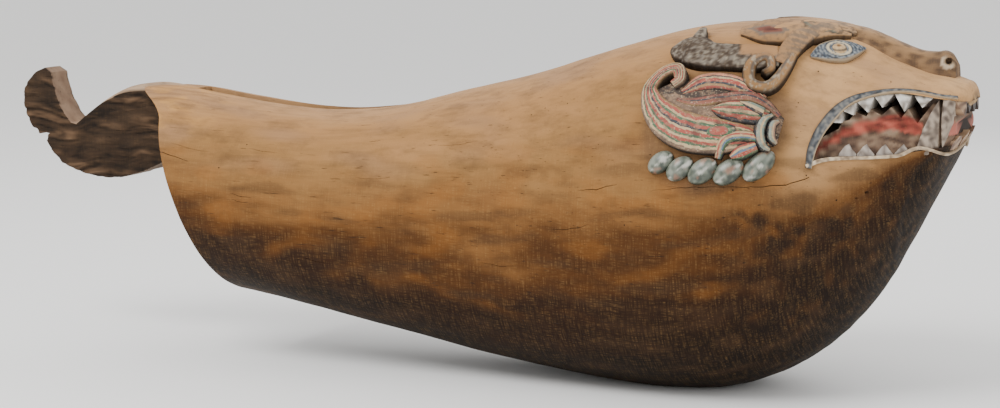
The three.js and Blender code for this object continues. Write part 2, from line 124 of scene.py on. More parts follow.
def solid(name, points, faces):
    """Mesh object from points in millimetres, faces turned outwards."""
    mesh = bpy.data.meshes.new(name)
    mesh.from_pydata(((np.asarray(points, float) + (SHIFT_X, 0, 0)) / 1000).tolist(), [], faces)
    check = bmesh.new()
    check.from_mesh(mesh)
    if check.calc_volume(signed=True) < 0:
        bmesh.ops.reverse_faces(check, faces=check.faces)
        check.to_mesh(mesh)
    check.free()
    made = bpy.data.objects.new(name, mesh)
    bpy.context.scene.collection.objects.link(made)
    return made


def loft(name, rings):
    """Closed skin over rows of rings with the same number of points each."""
    rings = np.asarray(rings, float)
    count, around = rings.shape[:2]
    at = np.arange(count * around).reshape(count, around)
    nxt = np.roll(at, -1, 1)
    faces = np.stack([at[:-1], nxt[:-1], nxt[1:], at[1:]], -1).reshape(-1, 4).tolist()
    points = np.concatenate([rings.reshape(-1, 3), rings[:1].mean(1), rings[-1:].mean(1)])
    hub = count * around
    faces += [(hub, b, a) for a, b in zip(at[0], nxt[0])]
    faces += [(hub + 1, a, b) for a, b in zip(at[-1], nxt[-1])]
    return solid(name, points, faces)


def rough(points, size, seed=0):
    """Smooth random value, about -1 to 1, at each point; size is how far apart its bumps are."""
    return np.array([noise.noise(Vector(p)) for p in np.asarray(points) / size + (seed, 1.7 * seed, -seed)])


def rise(value, start, end):
    """0 before start, 1 after end, smooth between."""
    t = np.clip((value - start) / (end - start), 0, 1)
    return t * t * (3 - 2 * t)


JAW_CREST = through([(560, 84), (595, 86), (622, 90), (666, 94), (709, 96), (753, 97), (779, 97), (818, 96),
    (840, 95)])
CHIN_EDGE = through([(90, 835), (112, 818), (137, 796), (165, 780), (180, 775)])


def worn(x, deg):
    """How far the adze and the years have taken the log's surface down, in millimetres."""
    side = np.abs(deg)
    p = skin(x, deg)
    deep = 1.3 * (1 + rough(p, (150, 60, 60), 3)) + 0.45 * (1 + rough(p, (45, 22, 22), 8))
    scallop = np.abs(rough(p, (60, 34, 34), 15))
    deep += 3.2 * scallop * rise(side, 96, 112) * rise(x, 430, 560)
    below = side - JAW_CREST(x)
    under = rise(x, 575, 612) * (1 - rise(x, 800, 840))
    deep += under * (6.5 * rise(below, -0.6, 3.2) * (1 - rise(below, 8, 34)))
    deep += 4.5 * rise(x - CHIN_EDGE(side), -2, 7) * rise(side, 100, 110) * (1 - rise(x, 872, 896))
    eye = np.hypot((x - 688) / 62, (side - 27) / 11)
    deep += 3.5 * (1 - rise(eye, 0.5, 1.15))
    fin = np.hypot((x - 524) / 122, (side - 61) / 24)
    deep += 2.6 * (1 - rise(np.abs(fin - 0.98), 0.03, 0.2))
    return np.maximum(deep, 0)


step_x = np.concatenate([np.arange(LOG_START_X, 400, 8), np.arange(400, NOSE_X, 3), [NOSE_X]])
step_down = np.concatenate([np.arange(0, 115, 1), np.arange(115, 180, 3)])
log_deg = np.concatenate([step_down, [180], -step_down[:0:-1]])
grid_x, grid_deg = np.meshgrid(step_x, log_deg, indexing="ij")
flat = skin(grid_x.ravel(), grid_deg.ravel(), worn(grid_x.ravel(), grid_deg.ravel()))
flat[:, 2] = np.maximum(flat[:, 2], 0)
log = loft("log", flat.reshape(*grid_x.shape, 3))

# ---------- hollowing: the leaning tail end, the chamber and the slit ----------
# The end is cut back under the spine, which stays as an eave where the tail leaves it. The chamber was
# chiselled out through the slit; its true inside can't be seen, so it is plain and straight.
END_AT_FLOOR, END_LEAN, EAVE_FROM, EAVE_HEIGHT, EAVE_REACH = -379, 0.38, 425, 57, 80
CHAMBER = [(-480, 145, 182, 385, END_LEAN), (200, 191, 78, 444, -0.1)]
SLIT_X, SLIT_HALF = (-534, -55), 25


def sideways(name, outline, y0, y1, steps=1, bend=None):
    """Outline drawn from the side as (x, z), run across from y0 to y1; bend moves the points of the result."""
    points = np.array([[(x, y, z) for x, z in outline] for y in np.linspace(y0, y1, steps + 1)], float)
    count, around = points.shape[:2]
    at = np.arange(count * around).reshape(count, around)
    nxt = np.roll(at, -1, 1)
    faces = np.stack([at[:-1], nxt[:-1], nxt[1:], at[1:]], -1).reshape(-1, 4).tolist()
    faces += [at[0].tolist()[::-1], at[-1].tolist()]
    points = points.reshape(-1, 3)
    return solid(name, bend(points) if bend else points, faces)


def cut(target, tool, how="DIFFERENCE"):
    """Cuts, joins or intersects with a tool solid and takes the tool away."""
    change = target.modifiers.new(how, "BOOLEAN")
    change.operation, change.solver, change.object = how, "MANIFOLD", tool
    bpy.context.view_layer.update()
    done = bpy.data.meshes.new_from_object(target.evaluated_get(bpy.context.evaluated_depsgraph_get()))
    target.modifiers.clear()
    target.data = done
    bpy.data.objects.remove(tool)
    return target


end_z = np.array([-60, 160, 405, *np.arange(412, 520, 7)])
end_x = END_AT_FLOOR - END_LEAN * end_z - EAVE_REACH * (np.maximum(0,
    end_z - EAVE_FROM) / EAVE_HEIGHT) ** 2.2
cut(log, sideways("end_cut", [(-1400, -60), *zip(end_x, end_z), (-1400, end_z[-1])], -400, 400))
rings = []
for x, half, floor, ceiling, lean in CHAMBER:
    side = [(across * half, floor + up * (ceiling - floor)) for across,
        up in ((0.55, 0), (1, 0.42), (0.92, 0.72), (0.42, 1))]
    ring = side + [(-y, z) for y, z in reversed(side)]
    rings.append([(x - lean * (z - ceiling), y, z) for y, z in ring])
cut(log, loft("chamber", rings))
roof = CHAMBER[0][3] - 20
cut(log, sideways("slit", [(SLIT_X[0], 520), (SLIT_X[0] + 8, 462), (-474, roof + 40), (-468, roof),
                           (SLIT_X[1] - 20, roof), (SLIT_X[1], 560)], -SLIT_HALF, SLIT_HALF))

# ---------- cracks, nicks and holes in the log ----------
# Drying cracks that run with the grain, and knocks on the jaw. Each is a thin wedge or a small lump cut
# out of the wood: a line of (x, degrees down), its widest opening and its depth.
CRACKS = [
    ([(673, 80.5), (640, 82.2), (599, 82.4), (541, 81)], 2.2, 12),
    ([(541, 81), (481, 79.8), (428, 79.5)], 1.4, 8),
    ([(-556, 70), (-520, 69), (-490, 70), (-462, 71)], 3.4, 18),
    ([(598, 140), (575, 136), (560, 129), (548, 124), (541, 117)], 1.8, 9),
    ([(-505, 62), (-455, 63), (-420, 62.4)], 1.6, 7), ([(-350, 55), (-318, 55.6), (-290, 55)], 1.8, 7),
    ([(-370, 84), (-345, 84.6), (-326, 84)], 2, 8), ([(-366, 87), (-350, 87.5), (-338, 87.2)], 1.8, 7),
    ([(-235, 108), (-205, 109), (-182, 108.6)], 2.2, 8), ([(-130, 66), (-95, 66.8), (-60, 66.3)], 1.5, 6),
    ([(20, 52), (55, 52.5), (88, 52)], 1.6, 6), ([(300, 76), (332, 76.8), (372, 76.2)], 1.8, 7),
    ([(255, 86), (290, 86.4), (322, 86)], 1.5, 6), ([(120, 95), (160, 95.8), (190, 95.2)], 1.6, 6),
]
DEGREE_MM = 4.4  # one degree round the log at its widest
FROM_AN_EDGE = (673, -556)  # these two start at the corner of the mouth and at the tail end, and gape there
NICKS = [(762, 99, 9, 4, 5), (745, 98, 6, 3, 4), (775, 100, 7, 4, 5), (845, 97, 6, 5, 4),
    (702, 105, 5, 3, 3),
         (-300, 71, 7, 2, 2), (-80, 99, 6, 2, 2), (380, 95, 8, 3, 2), (470, 98, 6, 3, 3),
         (612, 104, 7, 4, 3)]


def along(line, steps):
    """Even run of points along a line of (x, degrees), with a slight tremble."""
    line = np.array(line, float)
    far = np.concatenate([[0], np.cumsum(np.hypot(*(np.diff(line, axis=0) * (1, DEGREE_MM)).T))])
    s = np.linspace(0, far[-1], steps + 1)
    x, deg = np.interp(s, far, line[:, 0]), np.interp(s, far, line[:, 1])
    return x, deg + 0.1 * np.sin(x * 0.21) + 0.05 * np.sin(x * 0.53 + 1)


for side in (1, -1):
    for number, (line, wide, deep) in enumerate(CRACKS if side > 0 else CRACKS[1::2]):
        x, deg = along(line, 5 * len(line))
        gape = wide / 2 * np.sin(np.linspace(0.08, np.pi - 0.05, len(x))) ** 0.6 / DEGREE_MM
        if line[0][0] in FROM_AN_EDGE:
            gape = wide / 2 * np.linspace(1, 0.35, len(x)) / DEGREE_MM
        top_edge = skin(x, side * (deg - gape), -3)
        low_edge = skin(x, side * (deg + gape), -3)
        root = skin(x, side * deg, deep)
        cut(log, loft("crack", np.stack([top_edge, low_edge, root], 1)))
for x, deg, long, high, deep in NICKS:
    u, v = np.meshgrid(np.linspace(0, 2 * np.pi, 9)[:-1], np.linspace(0.15, np.pi - 0.15, 6))
    lump = np.stack([np.cos(v) * long, np.sin(v) * np.cos(u) * deep, np.sin(v) * np.sin(u) * high], -1)
    lump *= 1 + 0.25 * rough(lump.reshape(-1, 3) + (x, 0, deg), 5).reshape(*v.shape, 1)
    cut(log, loft("nick", lump + skin(x, deg)))

# ---------- the mouth ----------
# Sawn and chiselled open right round the muzzle, leaving a dark gap behind the upper teeth.
UPPER_LIP = [(671, 405), (679, 436), (702, 483), (733, 508), (789, 517), (855, 508), (910, 500)]
LOWER_LIP = [(910, 434), (854, 430), (798, 421), (747, 418), (700, 417), (671, 405)]


def spline(points, pieces):
    """Smooth run of points through the few given ones."""
    points = np.array(points, float)
    ends = np.concatenate([[2 * points[0] - points[1]], points, [2 * points[-1] - points[-2]]])
    at = np.linspace(0, len(points) - 1, pieces + 1)
    i = np.minimum(at.astype(int), len(points) - 2)
    t = (at - i)[:, None]
    a, b, c, d = (ends[i + k] for k in range(4))
    return 0.5 * (2 * b + (c - a) * t + (2 * a - 5 * b + 4 * c - d) * t ** 2 + (3 * b - a - 3 * c + d)
        * t ** 3)


def core(name, depth, fine=4.0):
    """The head end of the log taken down by depth, a number or a function of the points on its skin."""
    least = depth if isinstance(depth, (int, float)) else 14
    x = np.append(np.arange(604, NOSE_X - 1.2 * least - fine, fine), NOSE_X - 1.2 * least)
    deg = np.arange(0, 360, 2.0)
    gx, gd = np.meshgrid(x, np.where(deg > 180, deg - 360, deg), indexing="ij")
    at = skin(gx.ravel(), gd.ravel())
    inset = depth if isinstance(depth, (int, float)) else depth(at)
    return loft(name, skin(gx.ravel(), gd.ravel(), inset).reshape(*gx.shape, 3))


def through_head(outline):
    return sideways("prism", [(float(x), float(z)) for x, z in outline], -260, 260)


lips = np.concatenate([spline(UPPER_LIP, 60), spline(LOWER_LIP, 40)[:-1]])
cut(log, cut(through_head(lips), core("gap", 50)))



# ---------- the log's old surface ----------
# Handled, smoked and dusty wood: pale tan along the back, warm brown on the flanks and nearly black on
# the belly and the front of the chin. The darkening down the sides is partly the wood's own patina and
# partly painted shade under the body, and the chin's front facet is painted near-black as shade.
# Cracks, the mouth and the cut faces are painted dark as shade in the hollows.
DOWN_TONES = [(0, "#af865c"), (38, "#a07548"), (60, "#8a6439"), (82, "#764f28"), (98, "#492a0d"),
    (114, "#281507"),
              (136, "#150b04"), (180, "#0c0603")]
MARGIN, SHARP_EDGE, FRESH_CUT = 1e-4, 38, 16


def linear(code):
    """sRGB hex to linear colour."""
    parts = [int(code[i:i + 2], 16) / 255 for i in (1, 3, 5)]
    return np.array([c / 12.92 if c <= 0.04045 else ((c + 0.055) / 1.055) ** 2.4 for c in parts])


def shade(value, stops):
    """Colour at each value, between stops of (value, hex)."""
    at = [stop[0] for stop in stops]
    parts = np.array([linear(stop[1]) for stop in stops])
    return np.stack([np.interp(value, at, parts[:, k]) for k in range(3)], -1)


def coat(colour, *coats):
    """Lays coats over the colour at each point; a coat is (hex or colours, how much of it)."""
    for over, amount in coats:
        amount = np.clip(amount, 0, 1)[:, None]
        colour = colour * (1 - amount) + (linear(over) if isinstance(over, str) else over) * amount
    return colour


def points_of(piece):
    """The piece's points, in millimetres in the log's own frame."""
    at = np.empty(len(piece.data.vertices) * 3)
    piece.data.vertices.foreach_get("co", at)
    return at.reshape(-1, 3) * 1000 - (SHIFT_X, 0, 0)


def place_of(points):
    """x, degrees down (signed by side) and depth below the log's full surface, in millimetres."""
    x, y, z = points.T
    wide = widest(x)
    up = z >= wide
    n = np.where(up, upper_round(x), lower_round(x))
    reach = np.where(up, back_line(x) - wide, wide - belly_line(x))
    across, high = (np.abs(y) / half_width(x)) ** (n / 2), (np.abs(z - wide) / reach) ** (n / 2)
    deg = np.degrees(np.arctan2(across, high * np.where(up, 1, -1)))
    radius = np.hypot(across, high) ** (2 / n)
    return x, np.where(y <= 0, deg, -deg), (1 / np.maximum(radius, 0.05) - 1) * np.hypot(y, z - wide)


def patina_and_shade(points):
    """Colour of the old wood at each point, with stains that drift along the grain, darker down the sides as
    patina and painted shade, and the chin's front facet painted near-black as shade.
    """
    x, deg, depth = place_of(points)
    side = np.abs(deg)
    drift = rough(points, (260, 60, 60), 1) + 0.6 * rough(points, (90, 26, 26), 2) + 0.35 * rough(points,
        (34, 12, 12), 3)
    gold = rise(rough(points, (70, 40, 40), 5), 0.05, 0.5) * rise(side, 40, 70) * (1 - rise(side, 108, 122))
    throat = rise(side - JAW_CREST(x), 0, 5) * rise(x, 520, 600) * (1 - rise(side, 128, 150))
    patch = rise(rough(points, (46, 30, 30), 7) + 0.5 * rough(points, 14, 8), -0.12, 0.42)
    end = rise(-x, 400, 520)
    # painted shade: the tones darken down the sides to nearly black on the belly, partly the wood's own darker
    # patina and partly shade painted under the body
    tone = coat(
        shade(side + 13 * drift + 6 * rise(x, 480, 700) * rise(side, 90, 120), DOWN_TONES),
        ("#cda373", 0.75 * rise(x, 560, 700) * (1 - rise(side, 70, 96))
            * (0.75 + 0.4 * rough(points, 60, 4))),
        ("#8a5622", 0.3 * gold),
        ("#8f6f55", 0.4 * rise(rough(points, (150, 50, 50), 6), 0, 0.5) * (1 - rise(side, 50, 80))),
        ("#1d1008", throat * (0.3 + 0.62 * patch)),
        ("#5a3818", throat * 0.3 * rise(-rough(points, (30, 22, 22), 9), 0.1, 0.5)),
        # painted shade: the chin's front facet, turned away from the light, is painted near-black
        ("#130c07", 0.86 * rise(x - CHIN_EDGE(side), -3, 8) * rise(side, 96, 108)),
        ("#3a2717", 0.5 * rise(rough(points, (120, 22, 22), 10), 0.16, 0.5) * rise(side, 45, 90)),
        ("#c08d4e", 0.6 * end * rise(rough(points, (40, 26, 26), 11), 0.1, 0.4) * (1 - rise(side, 48, 60))),
        ("#6a4a2b", 0.35 * end * rise(rough(points, (60, 9, 9), 12), 0.1, 0.4)))
    return tone, x, deg, depth


def give_tone(piece, tone):
    """Stores the colour at each point of a piece."""
    four = np.column_stack([np.clip(tone, 0, 1), np.ones(len(tone))]).astype(np.float32)
    piece.data.attributes.new("tone", "FLOAT_COLOR", "POINT").data.foreach_set("color", four.ravel())


def add(tree, kind, inputs, out=0, **settings):
    """Adds one node with its settings, values and links, and gives one of its outputs."""
    made = tree.nodes.new(kind)
    for key, value in settings.items():
        setattr(made, key, value)
    for key, value in inputs.items():
        if isinstance(value, bpy.types.NodeSocket):
            tree.links.new(value, made.inputs[key])
        else:
            made.inputs[key].default_value = value
    return made.outputs[out]


def rgba(code):
    """sRGB hex to the four linear values of a colour socket."""
    return (*linear(code), 1.0)


# Bumps a metre along and across the grain, detail, and the low, high and new range of each pattern.
# Fibres lie 10 mm apart and the hatching of fine scratches 2 mm, as coarse as they need to be to show.
WOOD_PATTERNS = {
    "fibre": ((9, 95, 95), 6, 0.3, 0.7, 0.62, 1.3), "hatch_up": ((430, 34, 34), 2, 0.42, 0.66, 0, 1),
    "hatch_along": ((40, 520, 520), 2, 0.42, 0.66, 0, 1), "blot": ((16, 30, 30), 5, 0.5, 0.72, 0, 1),
    "check": ((22, 300, 300), 3, 0.66, 0.74, 0, 1)}
WORM_HOLES_A_METRE, RARE = 46, (0.86, 0.87)


def old_wood(name, grain=1.0, scratches=1.0, roughness=0.68, relief=1.0, gloss=0.14):
    """Carved, oiled and dusty wood: a matte skin in its tone, with grain, checks and worm holes in relief."""
    made = bpy.data.materials.new(name)
    made.use_nodes = True
    tree = made.node_tree
    shader = tree.nodes["Principled BSDF"]
    where = add(tree, "ShaderNodeTexCoord", {}, "Object")
    plain, part = {}, {}
    for key, (scale, detail, low, high, to_low, to_high) in WOOD_PATTERNS.items():
        turned = add(tree, "ShaderNodeMapping", {0: where, 3: scale})
        plain[key] = add(tree, "ShaderNodeTexNoise",
            {"Vector": turned, "Scale": 1, "Detail": detail, "Roughness": 0.6})
        part[key] = add(tree, "ShaderNodeMapRange", {0: plain[key], 1: low, 2: high, 3: to_low, 4: to_high})
    hatch = add(tree, "ShaderNodeMath", {0: part["hatch_up"], 1: part["hatch_along"]}, operation="MULTIPLY")
    near = add(tree, "ShaderNodeTexVoronoi", {"Vector": where, "Scale": WORM_HOLES_A_METRE}, "Distance")
    chance = add(tree, "ShaderNodeSeparateColor", {0: near.node.outputs["Color"]})
    rare = add(tree, "ShaderNodeMapRange", {0: chance, 1: RARE[0], 2: RARE[1], 3: 0, 4: 1})
    hole = add(tree, "ShaderNodeMapRange", {0: near, 1: 0.07, 2: 0.05, 3: 0, 4: 1})
    hole = add(tree, "ShaderNodeMath", {0: hole, 1: rare}, operation="MULTIPLY")
    colour = add(tree, "ShaderNodeAttribute", {}, "Color", attribute_name="tone")
    grey = add(tree, "ShaderNodeMix", {0: part["fibre"], 6: rgba("#000000"), 7: rgba("#ffffff")}, 2,
        data_type="RGBA")
    colour = add(tree, "ShaderNodeMix", {0: 0.5 * grain, 6: colour, 7: grey}, 2, data_type="RGBA",
        blend_type="MULTIPLY")
    for code, amount, share in (("#a98350", hatch, 0.2 * scratches),
        ("#2c1b0f", part["blot"], 0.34 * grain),
                                ("#1b110a", part["check"], 0.75 * grain), ("#120b07", hole, 0.9 * grain)):
        amount = add(tree, "ShaderNodeMath", {0: amount, 1: share}, operation="MULTIPLY")
        colour = add(tree, "ShaderNodeMix", {0: amount, 6: colour, 7: rgba(code)}, 2, data_type="RGBA")
    height = add(tree, "ShaderNodeMath", {0: plain["fibre"], 1: 0.8 * grain}, operation="MULTIPLY")
    for amount, share in ((hatch, 0.25 * scratches), (part["check"], -1.2 * grain), (hole, -2.0)):
        height = add(tree, "ShaderNodeMath", {0: amount, 1: share, 2: height}, operation="MULTIPLY_ADD")
    bump = add(tree, "ShaderNodeBump", {"Height": height, "Strength": 0.55 * relief, "Distance": 0.0016})
    tree.links.new(colour, shader.inputs["Base Color"])
    tree.links.new(bump, shader.inputs["Normal"])
    shader.inputs["Roughness"].default_value = roughness
    shader.inputs["Specular IOR Level"].default_value = gloss
    return made


def matte(name, code, roughness=0.9):
    """Plain rough surface in one colour."""
    made = bpy.data.materials.new(name)
    made.use_nodes = True
    shader = made.node_tree.nodes["Principled BSDF"]
    shader.inputs["Base Color"].default_value = rgba(code)
    shader.inputs["Roughness"].default_value = roughness
    return made


def finish(piece, *materials, sharp=False):
    """Keeps a piece inside the drum's own bounds, gives it its materials and puts it on the drum."""
    at = np.empty(len(piece.data.vertices) * 3)
    piece.data.vertices.foreach_get("co", at)
    at = np.clip(at.reshape(-1, 3), np.array(cad_box[0]) + MARGIN, np.array(cad_box[1]) - MARGIN)
    at[:, 2] = np.where(at[:, 2] < 2 * MARGIN, 0, at[:, 2])
    piece.data.vertices.foreach_set("co", at.ravel())
    piece.data.update()
    piece.data.materials.clear()
    for material in materials:
        piece.data.materials.append(material)
    piece.data.shade_smooth()
    if sharp:
        piece.data.set_sharp_from_angle(angle=math.radians(SHARP_EDGE))
    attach(piece, "root")
    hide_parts("slit_drum")


tone, x, deg, depth = patina_and_shade(points_of(log))
beside_fin = np.hypot((x - 524) / 118, (np.abs(deg) - 61) / 21)
# painted shade: the wood darkens where it lies below the worn skin, in cracks, nicks, the mouth and the cut
# faces, and in a ring round the fin where the skin meets the raised carving
give_tone(log, coat(tone, ("#1c120b", rise(depth - worn(x, deg), 0.8, 4)),
    ("#5b4431", 0.55 * (1 - rise(beside_fin, 0.9, 1.12)))))
centres = np.empty(len(log.data.polygons) * 3)
log.data.polygons.foreach_get("center", centres)
inside_log = place_of(centres.reshape(-1, 3) * 1000 - (SHIFT_X, 0, 0))[2] > FRESH_CUT
body_wood = old_wood("adzed_log_wood")
finish(log, body_wood, matte("chiselled_inside", "#2e2015"), sharp=True)
log.data.polygons.foreach_set("material_index", inside_log.astype(int))

# ---------- gum and tongue ----------
# Left standing in the log below its surface. Brown-grey gum round a worn salmon-red tongue, and a brown
# mound under it; thin old paint over chiselled wood.
GUM_EDGE = [
    (676, 430), (685, 447), (708, 460), (712, 471), (723, 474), (730, 486), (747, 479), (752, 490),
    (770, 481),
    (783, 494), (800, 477), (809, 491), (825, 469), (845, 500), (860, 503)]
GUM_FRONT = [(870, 503), (882, 466), (915, 466), (915, 450), (878, 450), (878, 436), (915, 436), (915, 395)]
TONGUE_TOP = through([(684, 436), (703, 451), (722, 463), (741, 472), (760, 476), (784, 482), (804, 480),
    (830, 470)])
TONGUE_LOW = through([(679, 422), (700, 436), (719, 447), (742, 455), (762, 457), (792, 459), (818, 453),
    (840, 448)])


def gum_depth(at):
    """The tongue swells out of the gum, and the lower gum bulges under it."""
    x, z = at[:, 0], at[:, 2]
    middle, half = (TONGUE_TOP(x) + TONGUE_LOW(x)) / 2, np.maximum(4, (TONGUE_TOP(x) - TONGUE_LOW(x)) / 2)
    swell = np.clip(1 - ((z - middle) / half) ** 2, 0, 1) ** 0.6
    mound = np.clip(1 - (np.hypot((x - 772) / 62, (z - 432) / 20)) ** 2, 0, 1) ** 0.6
    return 15 - 3.5 * swell - 3.5 * mound + 1.2 * rough(at, 9, 2)


gum = cut(through_head([(660, 395), *GUM_EDGE, *GUM_FRONT]), core("gum", gum_depth, 3), "INTERSECT")
gum.name = "gum"
painted = old_wood("painted_carving", 0.35, 0.5, 0.72, 0.9, 0.15)
points = points_of(gum)
x, y, z = points.T
jitter = 3 * rough(points, (22, 8, 8), 71)
behind_front = x < 835
in_tongue = rise(z - TONGUE_LOW(x) + jitter, -2,
    2) * (1 - rise(z - TONGUE_TOP(x) + jitter, -2, 2)) * behind_front
tongue = shade(rough(points, (26, 10, 10), 73), [(-0.5, "#4c1e18"), (0, "#80382e"), (0.4, "#a85444")])
give_tone(gum, coat(
    shade(rough(points, (20, 9, 9), 72), [(-0.5, "#3e2f27"), (0, "#5e4a3d"), (0.5, "#86705c")]),
    (tongue, in_tongue * 0.95),
    ("#b06a5c", (x > 862) * (z > 449) * (z < 470) * 0.9),
    ("#9a8672", 0.7 * rise(z - TONGUE_TOP(x), 1, 8) * rise(rough(points, 9, 74), -0.2, 0.3) * behind_front),
    # painted shade: the gum darkens where it lies deep below the log's surface
    ("#241913", rise(place_of(points)[2], 19, 26))))
finish(gum, painted, sharp=True)

# ---------- teeth, fangs and front teeth ----------
# Triangular teeth, a fang up and a fang down on each side, and four squat teeth above and below across
# the muzzle, all cut in the log. Silver-white paint above, brown-grey on the rest.
UPPER_TEETH = [
    ((693, 471), (713, 470), (712, 490)), ((713, 489), (730, 482), (732, 503)),
    ((733, 502), (751, 486), (757, 509)),
    ((758, 510), (772, 494), (786, 514)), ((788, 514), (806, 488), (814, 514)),
    ((818, 511), (832, 494), (845, 508))]
LOWER_TEETH_X = (725, 752, 780, 807)
LOWER_FANG = [(824, 420), (835, 458), (845, 484), (856, 506), (859, 480), (858, 420)]
UPPER_FANG = [(862, 515), (880, 515), (877, 468), (870, 447), (864, 431), (862, 468)]
INCISORS_Y = (-58, -20, 20, 58)


def joined(name, prisms, depth, fine=4.0):
    """Prisms joined and kept only where they lie in the log taken down by depth."""
    for prism in prisms[1:]:
        cut(prisms[0], prism, "UNION")
    made = cut(prisms[0], core(name, depth, fine), "INTERSECT")
    made.name = name
    return made


def fang_depth(at):
    """Each fang has a ridge down its middle and falls away to both edges."""
    x, z = at[:, 0], at[:, 2]
    low = np.abs(x - (841 + (z - 420) * 0.17)) / 14
    high = np.abs(x - 870) / 8
    return 2 + 5 * np.minimum(np.minimum(low, high), 1.2) ** 1.5


upper_teeth = joined("upper_teeth", [through_head([a, b, c, (c[0], c[1] + 14), (a[0], a[1] + 14)]) for a, b,
    c in UPPER_TEETH], 5)
LOWER_TOOTH = [(-14, 410), (-12, 422), (-4, 430), (1, 437), (6, 429), (13, 421), (14, 410)]
low = [through_head([(x + a, z + (x % 7 if a == -4 else 0)) for a, z in LOWER_TOOTH])
    for x in LOWER_TEETH_X]
lower_teeth = joined("lower_teeth", low, 9)
fangs = joined("fangs", [through_head(LOWER_FANG), through_head(UPPER_FANG)], fang_depth, 2)
front = []
for base, tip in ((520, 480), (424, 447)):
    for number, y in enumerate(INCISORS_Y):
        lean = (number % 2) * 3
        outline = [(-15, base), (-15, (base + 2 * tip) / 3), (-9, (base + 5 * tip) / 6), (-4 + lean, tip),
            (5, tip + 2 * lean),
                   (11, (base + 5 * tip) / 6), (15, (base + 2 * tip) / 3), (15, base)]
        rings = [[(x, y + a, z) for a, z in outline] for x in (NOSE_X - 75, NOSE_X + 5)]
        front.append(loft("incisor", rings))
front_teeth = joined("front_teeth", front, 5)
tooth = old_wood("painted_teeth", 0.25, 0.3, 0.55, 0.7, 0.5)
for piece, tones, seed in ((upper_teeth, ("#6f665c", "#a9a298", "#d6d2ca"), 81),
    (lower_teeth, ("#6b5f55", "#8d8177", "#b0a69a"), 82),
                           (fangs, ("#4c3f35", "#77685a", "#9b8b7a"), 83),
                           (front_teeth, ("#4a3327", "#7d604a", "#a98b6c"), 84)):
    points = points_of(piece)
    tone = shade(rough(points, (8, 8, 8), seed), [(-0.4, tones[0]), (0, tones[1]), (0.35, tones[2])])
    # painted shade: the teeth darken towards their roots, deep below the log's surface
    give_tone(piece, coat(tone, ("#2b1e16", rise(place_of(points)[2], 9, 13))))
    finish(piece, tooth, sharp=True)

# ---------- lip lobes ----------
# Two soft pads under the nose, left in the same wood and rubbed pale.
LOBE_AT, LOBE_SIZE = (884, 0, 507), (15, 56, 18)
u, v = np.meshgrid(np.linspace(0, 2 * np.pi, 73)[:-1], np.linspace(0.03, np.pi - 0.03, 40))
ball = np.stack([np.sin(v) * np.cos(u), np.cos(v), np.sin(v) * np.sin(u)], -1)
seam = 1 - 0.16 * np.exp(-((ball[..., 1] - 0.12) / 0.1) ** 2) - 0.1 * np.exp(-((ball[..., 1]
    + 0.62) / 0.08) ** 2)
lip_lobes = loft("lip_lobes", ball * seam[..., None] * LOBE_SIZE + LOBE_AT)
give_tone(lip_lobes, shade(rough(points_of(lip_lobes), 12, 91), [(-0.5, "#8a6c4a"), (0.4, "#b8976c")]))
finish(lip_lobes, body_wood)

# ---------- carved bands ----------
# The fin, the horns, the brow and the scroll are raised bands that follow the swell of the log. A band's
# stations are x, degrees down, half width and height; its profile runs across it from edge to edge.


def centripetal(points, s):
    """Smooth curve through the points at each s from 0 to 1, without overshoot where they lie close."""
    points = np.array(points, float)
    last = len(points) - 1
    ends = np.concatenate([[2 * points[0] - points[1]], points, [2 * points[-1] - points[-2]]])
    out = []
    for value in np.clip(s, 0, 1) * last:
        i = min(int(value), last - 1)
        t = value - i
        a, b, c, d = ends[i:i + 4]
        ab, bc, cd = (max(1e-4, float(np.sum((q - p) ** 2)) ** 0.25) for p, q in ((a, b), (b, c), (c, d)))
        m = ((b - a) / ab - (c - a) / (ab + bc) + (c - b) / bc) * bc
        n = ((c - b) / bc - (d - b) / (bc + cd) + (d - c) / cd) * bc
        out.append(b + m * t + (-3 * b + 3 * c - 2 * m - n) * t ** 2 + (2 * b - 2 * c + m + n) * t ** 3)
    return np.array(out)


def lay_on_skin(x, deg, forward, across_mm, side, height):
    """Points offset sideways by across_mm from (x, deg), at right angles to forward, and raised by height."""
    at = skin(x, side * deg)
    along_x = skin(x + 0.5, side * deg) - skin(x - 0.5, side * deg)
    along_deg = skin(x, side * (deg + 0.5)) - skin(x, side * (deg - 0.5))
    out = np.cross(along_x, along_deg) * (-1 if side > 0 else 1)
    out /= np.linalg.norm(out, axis=-1, keepdims=True)
    across = np.cross(out, forward)
    xx, xd, dd = ((p * q).sum(-1) for p, q in ((along_x, along_x), (along_x, along_deg),
        (along_deg, along_deg)))
    det = xx * dd - xd * xd
    px, pd = (across * along_x).sum(-1) * across_mm, (across * along_deg).sum(-1) * across_mm
    at = skin(x + (px * dd - pd * xd) / det, side * (deg + (pd * xx - px * xd) / det))
    return at + out * height[..., None]


